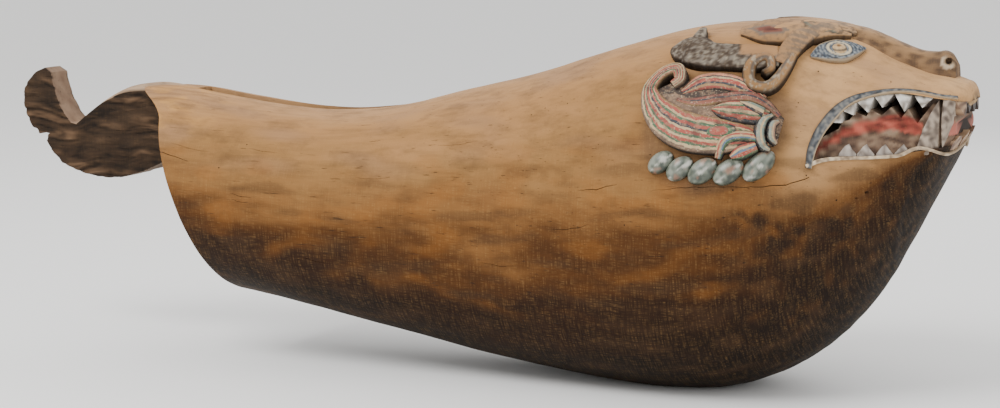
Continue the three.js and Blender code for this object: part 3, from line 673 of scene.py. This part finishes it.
def band(name, stations, side, profile, pieces=60, sunk=7, grooves=(), ripple=0.5):
    """Raised band; profile is (across, share of the height) from -1 to 1, grooves are (across, width, depth)."""
    stations = np.array(stations, float)
    s = np.linspace(0, 1, pieces + 1)
    path = centripetal(np.column_stack([stations[:, :2], 0 * stations[:, 0]]), s)
    size = centripetal(np.column_stack([stations[:, 2:], 0 * stations[:, 0]]), s)
    ahead = centripetal(np.column_stack([stations[:, :2], 0 * stations[:, 0]]), np.minimum(1, s + 0.02))
    behind = centripetal(np.column_stack([stations[:, :2], 0 * stations[:, 0]]), np.maximum(0, s - 0.02))
    forward = skin(ahead[:, 0], side * ahead[:, 1]) - skin(behind[:, 0], side * behind[:, 1])
    forward /= np.linalg.norm(forward, axis=-1, keepdims=True)
    u = np.interp(np.linspace(0, 1, 27), np.linspace(0, 1, len(profile)), [p[0] for p in profile])
    share = np.interp(np.linspace(0, 1, 27), np.linspace(0, 1, len(profile)), [p[1] for p in profile])
    u, share = np.concatenate([[-1], u, [1]]), np.concatenate([[0], share, [0]])
    gs, gu = np.meshgrid(s, u, indexing="ij")
    shape = gs.shape
    high = np.repeat(size[:, 1:2], len(u), 1) * share
    for where, width, deep in grooves:
        high -= deep * np.exp(-((gu - where) / width) ** 2) * (share > 0)
    high = np.where(share <= 0, -sunk, high)
    x, deg = (np.repeat(path[:, k:k + 1], len(u), 1) for k in (0, 1))
    points = lay_on_skin(x, deg, np.repeat(forward[:, None], len(u), 1),
        gu * np.repeat(size[:, :1], len(u), 1), side, high)
    points += ripple * rough(points.reshape(-1, 3), (16, 10, 10), side + 4).reshape(*shape,
        1) * (share > 0)[None, :, None] * \
        np.array((0, -side, 0.3))
    made = loft(name, points)
    lay = np.concatenate([np.stack([gu * 0.5 + 0.5, gs, np.maximum(share, 0) + 0 * gs], -1).reshape(-1, 3),
                          [(0.5, 0, 0), (0.5, 1, 0)]])
    made.data.attributes.new("lay", "FLOAT_VECTOR", "POINT").data.foreach_set("vector",
        lay.astype(np.float32).ravel())
    return made


ROUND = [(-1, 0.35), (-0.97, 0.55), (-0.8, 0.76), (-0.5, 0.92), (0, 1), (0.5, 0.92), (0.8, 0.76),
    (0.97, 0.55), (1, 0.35)]
BOARD = [(-1, 0.6), (-0.96, 0.8), (-0.8, 0.9), (-0.4, 0.98), (0, 1), (0.4, 0.98), (0.8, 0.9), (0.96, 0.8),
    (1, 0.6)]

# ---------- the fin ----------
# Behind the jaw a fin sweeps back in grooved locks that curl up into a knob, under a cluster of petals.
# Its paint runs along the locks in red, green, slate and cream stripes, worn through on the high parts.
FIN_BANDS = [
    ("fin_bed", [(626, 65, 22, 6), (592, 63, 44, 9), (540, 60.5, 54, 10), (490, 57.5, 54, 10),
        (450, 54, 46, 10),
                 (420, 52, 22, 9)], BOARD, 50, ()),
    ("lower_lock", [(612, 69, 8, 8), (575, 67, 20, 14), (530, 66, 30, 17), (482, 63.5, 32, 18),
        (446, 59, 29, 18),
                    (422, 53, 20, 18), (414, 48, 13, 18), (422, 44, 11, 18), (440, 41.5, 11, 20),
                    (457, 42.5, 11, 22),
                    (462, 46, 10, 22), (452, 48, 8, 20)], BOARD, 150,
     ((-0.62, 0.05, 2.6), (-0.3, 0.05, 1.8), (0.02, 0.05, 1.8), (0.34, 0.05, 1.8), (0.64, 0.05, 2.2))),
    ("upper_lock", [(598, 54, 6, 8), (565, 50, 15, 14), (530, 47.5, 18, 15), (496, 47.5, 17, 15),
        (468, 50.5, 6, 12)],
     ROUND, 60, ((-0.5, 0.08, 1.6), (0, 0.08, 1.6), (0.5, 0.08, 1.6))),
    ("middle_lock", [(622, 60, 5, 8), (600, 56, 9, 13), (572, 53.5, 11, 15), (530, 54, 11, 15),
        (492, 54.5, 9, 14),
                     (462, 53, 4, 12)], ROUND, 60, ((-0.3, 0.1, 1.5), (0.4, 0.1, 1.5))),
    ("great_petal", [(520, 57.5, 3, 14), (533, 58, 13, 20), (556, 58.6, 20, 22), (584, 59.5, 19, 21),
        (606, 60.5, 12, 16)],
     ROUND, 50, ((-0.72, 0.07, 2.2), (-0.35, 0.06, 1.2), (0, 0.06, 1.2), (0.35, 0.06, 1.2))),
    ("top_petal", [(562, 56, 3, 20), (578, 57.5, 9, 26), (598, 59.5, 10, 24)], ROUND, 30,
        ((0.3, 0.1, 1.5),)),
    ("round_petal", [(514, 65, 4, 15), (525, 65, 14, 20), (545, 65, 15, 20), (560, 65, 9, 18)], ROUND, 34,
     ((-0.62, 0.08, 1.6), (0.62, 0.08, 1.6))),
    ("arched_petal", [(537, 73, 6, 14), (542, 69, 10, 20), (556, 67, 10, 21), (578, 67, 10, 21),
        (596, 68, 7, 18)],
     ROUND, 50, ((-0.2, 0.12, 1.6), (0.5, 0.1, 1.4))),
    ("inner_petal", [(556, 73, 5, 14), (572, 71.5, 13, 20), (592, 70, 10, 18)], ROUND, 34,
     ((-0.5, 0.1, 1.8), (0, 0.1, 1.6), (0.5, 0.1, 1.4))),
    ("outer_crescent", [(611, 60, 4, 16), (598, 62.5, 9, 22), (595, 66, 10, 24), (600, 69.5, 9, 22),
        (612, 71.5, 4, 16)],
     ROUND, 44, ((0.1, 0.14, 1.6),)),
    ("inner_crescent", [(621, 62, 4, 16), (612, 64, 8, 24), (612, 67, 8, 24), (621, 69.5, 4, 16)], ROUND,
        34,
     ((0.1, 0.14, 1.6),)),
]
SIDES = ((1, "left"), (-1, "right"))
fin = {}
for side, which in SIDES:
    for name, stations, profile, pieces, grooves in FIN_BANDS:
        fin[name, which] = band(f"{name}_{which}", stations, side, profile, pieces, grooves=grooves)

RED, GREEN, SLATE, CREAM, TAN, DARK = "#984435", "#3f5c40", "#2c3036", "#b29a72", "#8f6d45", "#33241a"
STRIPES = {
    "fin_bed": [(0, DARK), (0.3, "#6b5340"), (0.6, DARK), (0.8, "#6b5340")],
    "lower_lock": [(0, TAN), (0.08, RED), (0.17, CREAM), (0.23, GREEN), (0.3, RED), (0.38, SLATE),
        (0.45, CREAM), (0.51, RED),
                   (0.6, GREEN), (0.66, CREAM), (0.72, RED), (0.79, GREEN), (0.84, CREAM),
                   (0.91, "#6f5846")],
    "upper_lock": [(0, TAN), (0.1, "#c07a5a"), (0.26, SLATE), (0.34, CREAM), (0.42, RED), (0.6, SLATE),
        (0.7, TAN), (0.82, RED), (0.92, DARK)],
    "middle_lock": [(0, DARK), (0.15, "#7a4438"), (0.4, SLATE), (0.55, "#84503f"), (0.8, TAN)],
    "great_petal": [(0, SLATE), (0.16, RED), (0.3, GREEN), (0.38, CREAM), (0.5, RED), (0.64, GREEN),
        (0.72, CREAM), (0.84, RED), (0.93, SLATE)],
    "top_petal": [(0, SLATE), (0.3, CREAM), (0.55, "#6f7f6f"), (0.8, SLATE)],
    "arched_petal": [(0, SLATE), (0.14, GREEN), (0.28, "#54697a"), (0.42, CREAM), (0.55, RED),
        (0.72, CREAM), (0.88, RED)],
    "inner_petal": [(0, GREEN), (0.2, RED), (0.42, "#54697a"), (0.58, CREAM), (0.74, RED), (0.9, SLATE)],
    "outer_crescent": [(0, SLATE), (0.2, "#7d8579"), (0.5, CREAM), (0.66, "#6a7a70"), (0.85, SLATE)],
    "inner_crescent": [(0, SLATE), (0.2, "#7d8579"), (0.5, CREAM), (0.66, "#8a6a58"), (0.85, SLATE)],
    "round_petal": [(0, RED), (0.35, "#8e4a3f"), (0.52, GREEN), (0.8, "#3f4f42"), (0.95, SLATE)],
}
# Bumps a metre and detail of the unevenness of the stripes, flecks, wear, dirt and the grit of the paint.
PAINT_PATTERNS = {"shake": ((60, 60, 60), 4), "fleck": ((260, 260, 260), 3), "wear": ((90, 130, 130), 5),
                  "dirt": ((45, 60, 60), 5), "grit": ((200, 300, 300), 4), "swell": ((40, 60, 60), 3)}
STRIPE_WOBBLE = 0.09


def striped(name, stops, ring=False):
    """Chalky old paint in stripes of (place, hex) along a band, or in rings, worn through, dirtied, and darkened
    with painted shade down the band's low side walls.
    """
    made = bpy.data.materials.new(name)
    made.use_nodes = True
    tree = made.node_tree
    shader = tree.nodes["Principled BSDF"]
    where = add(tree, "ShaderNodeTexCoord", {}, "Object")
    part = {}
    for key, (scale, detail) in PAINT_PATTERNS.items():
        turned = add(tree, "ShaderNodeMapping", {0: where, 3: scale})
        part[key] = add(tree, "ShaderNodeTexNoise",
            {"Vector": turned, "Scale": 1, "Detail": detail, "Roughness": 0.6})
    lay = add(tree, "ShaderNodeAttribute", {}, "Vector", attribute_name="lay")
    across = add(tree, "ShaderNodeSeparateXYZ", {0: lay})
    high = across.node.outputs["Z"]
    if ring:
        centred = add(tree, "ShaderNodeMapping", {0: lay, 1: (-1, -1, 0), 3: (2, 2, 0)})
        across = add(tree, "ShaderNodeVectorMath", {0: centred}, "Value", operation="LENGTH")
    shake = add(tree, "ShaderNodeMapRange", {0: part["shake"], 1: 0, 2: 1, 3: -STRIPE_WOBBLE,
        4: STRIPE_WOBBLE})
    place = add(tree, "ShaderNodeMath", {0: across, 1: shake}, operation="ADD")
    colour = add(tree, "ShaderNodeValToRGB", {0: place})
    stripes = colour.node.color_ramp
    stripes.interpolation = "CONSTANT"
    for number, (at, code) in enumerate(stops):
        stripe = stripes.elements[number] if number < 2 else stripes.elements.new(at)
        stripe.position, stripe.color = at, rgba(code)
    proud = add(tree, "ShaderNodeMapRange", {0: high, 1: 0.6, 2: 1, 3: 0.15, 4: 0.6})
    for code, key, low, top, share in (("#c9b594", "fleck", 0.56, 0.68, 0.5),
        ("#97775a", "wear", 0.5, 0.62, proud),
                                       ("#2e241d", "dirt", 0.5, 0.66, 0.6)):
        amount = add(tree, "ShaderNodeMapRange", {0: part[key], 1: low, 2: top, 3: 0, 4: 1})
        amount = add(tree, "ShaderNodeMath", {0: amount, 1: share}, operation="MULTIPLY")
        colour = add(tree, "ShaderNodeMix", {0: amount, 6: colour, 7: rgba(code)}, 2, data_type="RGBA")
    # painted shade: the paint darkens to near-black down the low side walls where the band meets the skin
    painted_foot_shade = add(tree, "ShaderNodeMapRange", {0: high, 1: 0.9, 2: 0.55, 3: 0, 4: 0.92})
    colour = add(tree, "ShaderNodeMix", {0: painted_foot_shade, 6: colour, 7: rgba("#150f0b")}, 2, data_type="RGBA")
    height = add(tree, "ShaderNodeMath", {0: part["grit"], 1: part["swell"]}, operation="ADD")
    bump = add(tree, "ShaderNodeBump", {"Height": height, "Strength": 0.5, "Distance": 0.0018})
    tree.links.new(colour, shader.inputs["Base Color"])
    tree.links.new(bump, shader.inputs["Normal"])
    shader.inputs["Roughness"].default_value = 0.7
    return made


for name, stops in STRIPES.items():
    paint = striped(f"striped_{name}", stops, name == "round_petal")
    for side, which in SIDES:
        finish(fin[name, which], paint)

# ---------- crest, horns, brow and scroll ----------
# A low crown over the head, a flat horn leaf laid back on each side, and a brow that comes down behind
# the eye and rolls up into a tight scroll. Slate-grey paint on the leaves and the scroll, a dark red
# diamond and grey-green leaves on the crown, and painted shade down the side walls.
CREST_BANDS = [
    ("crown", [(528, 19, 14, 3), (570, 18, 46, 8), (612, 15, 50, 10), (648, 9.5, 46, 9), (690, 5, 36, 6)],
        BOARD, 70, ()),
    ("horn_leaf", [(428, 30, 8, 10), (441, 30.5, 24, 13), (462, 31, 34, 13), (490, 34.5, 29, 13),
        (525, 36, 27, 13),
                   (565, 36.5, 27, 13), (604, 36, 22, 12)], BOARD, 80, ()),
    ("horn_point", [(468, 31, 14, 12), (467, 24, 12, 12), (464, 17, 6, 10)], BOARD, 24, ()),
    ("brow", [(612, 40, 14, 14), (618, 33, 17, 13), (626, 26, 19, 12), (638, 18, 22, 10), (662, 9, 24, 9),
        (700, 5, 26, 8)],
     BOARD, 70, ()),
    ("scroll", [(626, 35, 8, 14), (619, 42, 10, 18), (606, 48.5, 11, 20), (586, 50, 11, 20),
        (569, 47, 11, 20),
                (566, 42, 11, 19), (577, 38, 10, 18), (593, 38.5, 9, 20), (598, 42.5, 8, 21),
                (589, 45, 7, 21)], ROUND, 110,
     ((-0.45, 0.1, 1.6), (0.35, 0.1, 1.6))),
]
crest = {}
for side, which in SIDES:
    for name, stations, profile, pieces, grooves in CREST_BANDS:
        crest[name, which] = band(f"{name}_{which}", stations, side, profile, pieces, grooves=grooves)
DIAMOND = [(540, 18), (565, 16.5), (593, 17), (605, 21), (591, 23.5), (568, 23.5)]
LEAVES = [(620, 11), (648, 11), (673, 9.5), (696, 8), (684, 17), (655, 19.5), (632, 17)]
LEAF_BARE = [(540, 30), (600, 30), (612, 34), (600, 39), (548, 37)]
LEAF_PAINT = [(-0.7, "#211f1e"), (-0.2, "#38342f"), (0.3, "#6a645c"), (0.8, "#8d8573")]


def inside(x, deg, outline):
    """How far inside a closed outline of (x, degrees) each point lies, in millimetres, negative outside."""
    points = np.array(outline, float)
    near = np.full(len(x), 1e9)
    within = np.zeros(len(x), bool)
    for (ax, ad), (bx, bd) in zip(points, np.roll(points, -1, 0)):
        px, pd, ex, ed = x - ax, (deg - ad) * DEGREE_MM, bx - ax, (bd - ad) * DEGREE_MM
        t = np.clip((px * ex + pd * ed) / (ex * ex + ed * ed), 0, 1)
        near = np.minimum(near, np.hypot(px - t * ex, pd - t * ed))
        if ad != bd:
            within ^= ((ad > deg) != (bd > deg)) & (x < ex * (deg - ad) / (bd - ad) + ax)
    return np.where(within, near, -near)


for (name, which), piece in crest.items():
    points = points_of(piece)
    tone, x, deg, depth = patina_and_shade(points)
    side = np.abs(deg)
    speck = rough(points, 7, 101) + 0.6 * rough(points, 3, 102)
    across, forward, share = np.array([v.vector[:] for v in piece.data.attributes["lay"].data]).T
    if name in ("horn_leaf", "horn_point"):
        leaf = shade(speck + 0.6 * rough(points, (40, 20, 20), 103), LEAF_PAINT)
        tone = coat(tone, (leaf, 0.92 * (1 - rise(inside(x, side, LEAF_BARE) + 4 * speck, -3, 5))))
    else:
        tone = coat(tone, ("#5c4d40", 0.25 + 0.4 * rise(speck, -0.1, 0.4)))
    if name == "crown":
        diamond = inside(x, side, DIAMOND) + 2.5 * speck
        leaves = inside(x, side, LEAVES) + 3 * speck
        tone = coat(
            tone, ("#5f5a55", 0.75 * (1 - rise(np.abs(diamond - 1), 1.5, 5))),
            ("#6b3a33", 0.9 * rise(diamond, 3, 6)), ("#3c201d", 0.8 * rise(diamond, 9, 13)),
            ("#5d6459", 0.8 * rise(leaves, -1, 2) * rise(rough(points, (14, 9, 9), 104), -0.25, 0.15)),
            ("#2f2d2b", 0.7 * (1 - rise(np.abs(leaves), 1, 4))),
            ("#b4695a", 0.85 * (1 - rise(np.hypot((x - 676) / 9, (side - 12.5) / 1.6), 0.7, 1.2))))
    if name == "brow":
        veins = rise(np.abs(rough(points, (60, 12, 12), 105)), 0.12, 0.3)
        tone = coat(tone, ("#57534e", 0.6 * veins * rise(x, 600, 640)),
                    ("#3c2f25", 0.7 * rise(x, 655, 700) * rise(speck, -0.1, 0.4)))
    if name == "scroll":
        slate = 0.85 * rise(np.abs(across - 0.28), 0.2, 0.05) + 0.6 * rise(across, 0.8, 0.95)
        tone = coat(tone, ("#55504b", slate), ("#b7a88f", 0.5 * rise(speck, 0.1, 0.5)),
                    ("#2a211b", rise(forward, 0.9, 1) * 0.7))
    # painted shade: each band darkens down its low side walls where it meets the skin
    give_tone(piece, coat(tone, ("#1d1510", (1 - rise(share, 0.5, 0.95)) * 0.92)))
    finish(piece, painted)

# ---------- eyes ----------
# A long almond raised a few millimetres, with a round iris disc that is cut round its edge. Blue-grey
# paint round a pale ring, and a tan disc with a brown dot.
EYE = [(652, 33, 3, 2), (670, 30, 20, 4), (691, 27, 26, 4.5), (711, 23.5, 18, 4), (728, 20, 3, 2)]
IRIS_AT, IRIS_SIZE = (691, 27), (14, 14, 8)


def swelling(name, at, turn, size, side, fine=(48, 24)):
    """Egg-shaped lump on the skin: half sizes along, across and out, turned by degrees."""
    x, deg = at
    middle = skin(x, side * deg)
    forward = skin(x + 1, side * deg) - middle
    forward /= np.linalg.norm(forward)
    down = skin(x, side * (deg + 1)) - middle
    down /= np.linalg.norm(down)
    out = np.cross(forward, down) * (-1 if side > 0 else 1)
    out /= np.linalg.norm(out)
    turn = math.radians(turn)
    first = forward * math.cos(turn) - down * math.sin(turn)
    second = np.cross(out, first)
    u, v = np.meshgrid(np.linspace(0, 2 * np.pi, fine[0] + 1)[:-1],
        np.linspace(0.04, np.pi - 0.04, fine[1]))
    ball = np.stack([np.cos(v), np.sin(v) * np.cos(u), np.sin(v) * np.sin(u)], -1)
    placed = ball @ np.array([first * size[0], second * size[1], out * size[2]]) + middle
    made = loft(name, placed)
    lay = np.concatenate([ball.reshape(-1, 3), [(1, 0, 0), (-1, 0, 0)]])
    made.data.attributes.new("lay", "FLOAT_VECTOR", "POINT").data.foreach_set("vector",
        lay.astype(np.float32).ravel())
    return made


eyes = {}
for side, which in SIDES:
    eyes["eye", which] = band(f"eye_{which}", EYE, side, ROUND, 90, sunk=5, ripple=0.1)
    eyes["iris", which] = swelling(f"iris_{which}", IRIS_AT, 0, IRIS_SIZE, side)
EYE_DEGREE_MM = 4.3
for (name, which), piece in eyes.items():
    points = points_of(piece)
    x, deg, depth = place_of(points)
    far = np.hypot(x - IRIS_AT[0], (np.abs(deg) - IRIS_AT[1]) * EYE_DEGREE_MM)
    speck = rough(points, 4, 121)
    if name == "eye":
        across = np.array([v.vector[0] for v in piece.data.attributes["lay"].data])
        tone = coat(
            shade(speck + 0.3 * np.sin(far * 1.1), [(-0.5, "#343a41"), (0, "#545b63"), (0.5, "#868a8a")]),
            ("#c3b496", 1 - rise(np.abs(far - 17.5), 1.2, 3)),
            ("#8d7b63", 1 - rise(np.minimum(across, 1 - across), 0.03, 0.12)))
    else:
        tone = coat(
            shade(speck, [(-0.5, "#a5865f"), (0.4, "#c9ab82")]),
            ("#4b4741", (1 - rise(np.abs(far - 11.5), 0.8, 2.2)) * 0.85),
            ("#6b4a2c", (1 - rise(far, 2.5, 5)) * 0.9))
    give_tone(piece, tone)
    finish(piece, painted)

# ---------- pearls ----------
# Five egg-shaped beads under each fin, cut in one row and painted grey-green, lighter towards the top
# as painted light, with a silvery streak that is partly silver paint and partly a painted highlight,
# and painted shade where they meet the skin.
PEARLS = [(445, 72, 32, 22, 15), (477, 74.5, 34, 23, 16), (514, 76, 34, 25, 17), (554, 77, 34, 26, 17),
          (599, 76, 42, 30, 17)]
PEARL_OUT = 14
pearls = {}
for side, which in SIDES:
    for number, (x, deg, turn, long, across) in enumerate(PEARLS):
        pearls[number, which] = swelling(f"pearl_{number + 1}_{which}", (x, deg), turn,
            (long, across, PEARL_OUT), side)
shine = old_wood("silvery_pearls", 0.1, 0.3, 0.36, 0.5, 0.6)
for (number, which), piece in pearls.items():
    points = points_of(piece)
    lengthwise, up, out = np.array([v.vector[:] for v in piece.data.attributes["lay"].data]).T
    # a silvery streak across each bead, partly silver paint and partly a painted highlight
    silver_and_highlight = rise(rough(points, (30, 6, 6), 150 + number) + 0.5 - np.abs(up + 0.15) * 1.8, 0.3, 0.75)
    give_tone(piece, coat(
        # painted light: the grey-green is lighter towards the upper edge on the near side
        shade(rough(points, 8, 131 + number) + 0.5 * up,
            [(-0.6, "#2c352c"), (-0.1, "#52594d"), (0.4, "#7b7f72")]),
        ("#a06a50", 0.45 * rise(rough(points, 12, 140 + number), 0.25, 0.5)),
        # the silver paint and painted highlight, then painted shade where the bead meets the skin
        ("#c4c1b6", 0.7 * silver_and_highlight), ("#241d17", 1 - rise(out, -0.02, 0.34))))
    finish(piece, shine)

# ---------- the trunk ----------
# A short trunk lies along the top of the muzzle and ends in a rolled tip with a nostril on each side.
# Its sides are dark and mottled; a pale ring and an orange spot are painted by the nostril.
TRUNK_TOP = through([(560, 624), (600, 629), (650, 627), (690, 620), (729, 611), (771, 594), (813, 580),
    (834, 579),
                     (850, 580), (860, 574), (868, 560)])
TRUNK_HALF = through([(560, 110), (600, 100), (650, 66), (690, 50), (730, 44), (771, 40), (813, 32),
    (850, 29), (868, 25)])
TRUNK_ROOT = 34
NOSTRIL_AT, NOSTRIL_R, NOSTRIL_DEPTH = (856, 564), 5, 20
rings = []
for x in [*np.arange(570, 860, 4), 860, 862, 864, 866, 868]:
    angle = np.radians(np.arange(0, 360, 5))
    root = back_line(x) - TRUNK_ROOT
    c, s = np.cos(angle), np.sin(angle)
    high = np.where(c > 0, TRUNK_TOP(x) - root, 12)
    y = TRUNK_HALF(x) * np.sign(s) * np.abs(s) ** 0.7
    ring = np.stack([np.full_like(y, x), y, root + high * np.sign(c) * np.abs(c) ** 0.8], -1)
    ring[:, 2] -= 0.8 * (1 + rough(ring, (24, 12, 12), 21))
    rings.append(ring)
trunk = loft("trunk", rings)
for side in (1, -1):
    angle = np.linspace(0, 2 * np.pi, 25)[:-1]
    rings = [[(NOSTRIL_AT[0] + r * math.cos(a), side * y, NOSTRIL_AT[1] + r * math.sin(a)) for a in angle]
             for y, r in ((-60, 9), (-30, NOSTRIL_R + 1), (-26, NOSTRIL_R),
                 (-NOSTRIL_DEPTH / 2, NOSTRIL_R - 1))]
    cut(trunk, loft("nostril", rings))
points = points_of(trunk)
tone, x, deg, depth = patina_and_shade(points)
side = np.abs(points[:, 1]) / TRUNK_HALF(x)
mottle = rough(points, (18, 9, 9), 31)
ring = np.hypot(x - NOSTRIL_AT[0], points[:, 2] - NOSTRIL_AT[1])
spot = np.hypot(x - 861, points[:, 2] - 571)
give_tone(trunk, coat(
    tone, ("#5a4431", rise(side, 0.45, 0.8) * (0.6 + 0.4 * mottle) * rise(x, 640, 720)),
    ("#3b2f28", rise(mottle, -0.1, 0.4) * 0.7 * rise(x, 640, 700)),
    ("#5d4735", 0.4 * rise(x, 640, 720)), ("#4a3b30", rise(x, 800, 846) * 0.5),
    ("#b9a58a", (1 - rise(np.abs(ring - 9.5), 1.5, 4)) * rise(side, 0.5, 0.8)),
    ("#c06a34", (1 - rise(spot, 2, 5)) * rise(side, 0.5, 0.8)),
    # painted shade: the inside of each nostril is painted near-black
    ("#120c09", (1 - rise(ring, 4.5, 6.5)) * rise(side, 0.3, 0.6))))
finish(trunk, body_wood, sharp=True)

# ---------- the tail ----------
# An upright board left standing on the spine: a hump, a valley and a curl whose lower edge has broken
# away. The top is smooth from handling; the sides are rough and eroded into long wavy ridges.
TAIL_TOP = [(-540, 478), (-602, 486), (-640, 484), (-682, 476), (-722, 457), (-756, 432), (-789, 405)]
CURL_INSIDE = [(-800, 407), (-820, 431), (-835, 464), (-844, 499)]
CURL_OUTSIDE = [(-858, 508), (-882, 496), (-902, 470), (-905, 436), (-889, 394)]
BROKEN = [(-889, 394), (-879, 392), (-871, 382), (-862, 385), (-850, 384), (-857, 369), (-852, 360),
    (-840, 346), (-829, 336), (-822, 329)]
TAIL_BELOW = [(-822, 329), (-800, 320), (-760, 309), (-712, 305), (-662, 314), (-612, 333), (-575, 351),
    (-520, 366)]
CROWN = through([(-900, 0), (-800, 3), (-756, 8), (-720, 14), (-650, 21), (-600, 27), (-540, 32)])
TAIL_MIDDLE = through([(-900, 440), (-800, 370), (-700, 390), (-520, 410)])
TAIL_HALF = through([(-900, 30), (-560, 46)])
jag = np.array([p for a, b in zip(BROKEN, BROKEN[1:]) for p in np.linspace(a, b, 5)[:-1]])
jag = jag + 1.5 * np.stack([rough(np.column_stack([jag, 0 * jag[:, 0]]), 4, k) for k in (1, 2)], -1)
below = spline(TAIL_BELOW, 90)
below[:, 1] += 1.6 * rough(np.column_stack([below, 0 * below[:, 0]]), (9, 5, 5), 5) * rise(-below[:, 0],
    560, 640)
outline = [(-505, 440), *spline(TAIL_TOP, 60), *spline(CURL_INSIDE, 24), *spline(CURL_OUTSIDE, 40), *jag,
    *below]


def crowned(points):
    """The top falls away to both sides, most at the hump."""
    x, y, z = points.T
    z = z - np.where(z > TAIL_MIDDLE(x), CROWN(x) * y ** 2, 0)
    return np.stack([x, y * (TAIL_HALF(x) + 6), z], -1)


tail = sideways("tail", outline, -1, 1, 14, crowned)
rings = []
for x in np.arange(-912, -495, 2.5):
    z = np.arange(290, 526, 2.5)
    ring = []
    for side in (-1, 1):
        at = np.column_stack([np.full_like(z, x), np.full_like(z, side * 40.0),
            z + 5 * math.sin(x / 47) + 3 * math.sin(x / 19)])
        ridge = 1 - 2.2 * np.abs(rough(at, (85, 30, 17), 30 + side))
        fine = 1 - 2 * np.abs(rough(at, (34, 30, 7), 40 + side))
        deep = 3.6 * np.clip(ridge, 0, 1) + 1.6 * np.clip(fine, 0,
            1) + 1.2 * (1 + rough(at, (60, 40, 40), 50))
        face = np.column_stack([np.full_like(z, x), side * (TAIL_HALF(x) - deep), z])
        ring.append(face if side < 0 else face[::-1])
    rings.append(np.concatenate(ring))
cut(tail, loft("gouged", rings), "INTERSECT")
tail.name = "tail"
points = points_of(tail)
x = points[:, 0]
normal = np.array([v.normal[:] for v in tail.data.vertices])
furrow = TAIL_HALF(x) - np.abs(points[:, 1])
# the sides darken with the depth of each furrow to near-black, partly the rough wood's own dark colour and
# partly painted shade in the furrows
bark = coat(
    shade(furrow + 1.5 * rough(points, (30, 14, 9), 61),
        [(-0.5, "#7a614a"), (1.5, "#5a4431"), (3.5, "#36271a"), (6, "#19110b")]),
    ("#3a2b1e", 0.6 * rise(rough(points, (120, 60, 30), 62), -0.1, 0.4)))
give_tone(tail, coat(
    shade(rough(points, (70, 20, 20), 63), [(-0.5, "#8f745c"), (0, "#a98d72"), (0.5, "#bda184")]),
    ("#6b5546", 0.75 * rise(-x, 770, 815)),
    (bark, rise(np.abs(normal[:, 1]), 0.35, 0.75) * (1 - rise(furrow, 9, 14))),
    # painted shade: faces that turn downwards are painted darker
    ("#2a1e15", rise(-normal[:, 2], 0.3, 0.8) * 0.7)))
finish(tail, old_wood("rough_dark_wood", 1.0, 0.25, 0.85, 1.6, 0.2), sharp=True)

# ---------- lips ----------
# A narrow bevel runs round the mouth, painted blue-grey above, with a pale worn line along the lower lip.
LIP_LINE = [(672, 400, 5), (674, 425, 7), (682, 452, 8), (698, 480, 8.5), (716, 500, 7), (740, 512, 5.5),
    (770, 519, 4.2),
            (800, 521, 3.6), (832, 518, 3.4), (858, 513, 3.2), (882, 510, 3)]
LOWER_LINE = [(668, 403, 3), (686, 411, 3.4), (712, 415, 3), (750, 416, 2.6), (800, 419, 2.6),
    (850, 428, 2.4), (888, 432, 2)]
LIP_EDGE = [(-1, 0.2), (-0.8, 0.9), (-0.4, 1), (0, 0.8), (0.4, 0.5), (0.8, 0.3), (1, 0.1)]
lips_made = {}
for side, which in SIDES:
    stations = [(x, float(degrees_at(x, z)), half, 2.2) for x, z, half in LIP_LINE]
    lips_made["upper", which] = band(f"upper_lip_{which}", stations, side, LIP_EDGE, 90, sunk=5, ripple=0.3)
    stations = [(x, float(degrees_at(x, z)), half, 1.6) for x, z, half in LOWER_LINE]
    lips_made["lower", which] = band(f"lower_lip_{which}", stations, side, ROUND, 80, sunk=5, ripple=0.3)
for (name, which), piece in lips_made.items():
    speck = rough(points_of(piece), 6, 111)
    across = np.array([v.vector[0] for v in piece.data.attributes["lay"].data])
    if name == "upper":
        tone = coat(
            shade(speck, [(-0.5, "#34373a"), (0, "#55585b"), (0.5, "#817d74")]),
            ("#b59d7c", (1 - rise(across, 0.06, 0.2)) * 0.8), ("#3a342f", rise(across, 0.75, 0.95) * 0.7))
    else:
        tone = shade(speck, [(-0.5, "#7b6a56"), (0, "#a79279"), (0.5, "#cbb99d")])
    give_tone(piece, tone)
    finish(piece, painted)

# ---------- the studio ----------
# Plain pale floor, one large soft light over the near side, a weaker one from the head, and a low fill.
bpy.ops.mesh.primitive_plane_add(size=40, location=(0, 0, 0))
floor = bpy.context.object
floor.name = "floor"
floor.data.materials.append(matte("pale_floor", "#f4f3f1"))
LIGHTS = (("key", (-1.2, -2.6, 3.4), (0, 0, 0.3), 2.4, 150),
    ("fill", (3.2, -2.2, 1.2), (0.5, 0, 0.3), 2.5, 25),
          ("rim", (0.5, 3.0, 2.6), (0, 0, 0.4), 3, 40))
for name, where, aim, size, power in LIGHTS:
    lamp = bpy.data.lights.new(name, "AREA")
    lamp.shape, lamp.size, lamp.energy = "DISK", size, power
    made = bpy.data.objects.new(name, lamp)
    made.location = where
    made.rotation_euler = (Vector(aim) - Vector(where)).to_track_quat("-Z", "Y").to_euler()
    bpy.context.scene.collection.objects.link(made)
world = bpy.data.worlds.new("studio")
world.use_nodes = True
world.node_tree.nodes["Background"].inputs["Color"].default_value = (1, 1, 1, 1)
world.node_tree.nodes["Background"].inputs["Strength"].default_value = 1.15
bpy.context.scene.world = world
AZIMUTH, ELEVATION, DISTANCE, LENS = math.radians(22), math.radians(7.5), 4.05, 82.27
TARGET = Vector((0.06734, 0, 0.28882))
camera = bpy.data.cameras.new("camera")
camera.lens, camera.sensor_width = LENS, 36
camera = bpy.data.objects.new("camera", camera)
back = Vector((math.sin(AZIMUTH) * math.cos(ELEVATION), -math.cos(AZIMUTH) * math.cos(ELEVATION),
    math.sin(ELEVATION)))
camera.location = TARGET + DISTANCE * back
camera.rotation_euler = (-back).to_track_quat("-Z", "Y").to_euler()
bpy.context.scene.collection.objects.link(camera)
bpy.context.scene.camera = camera
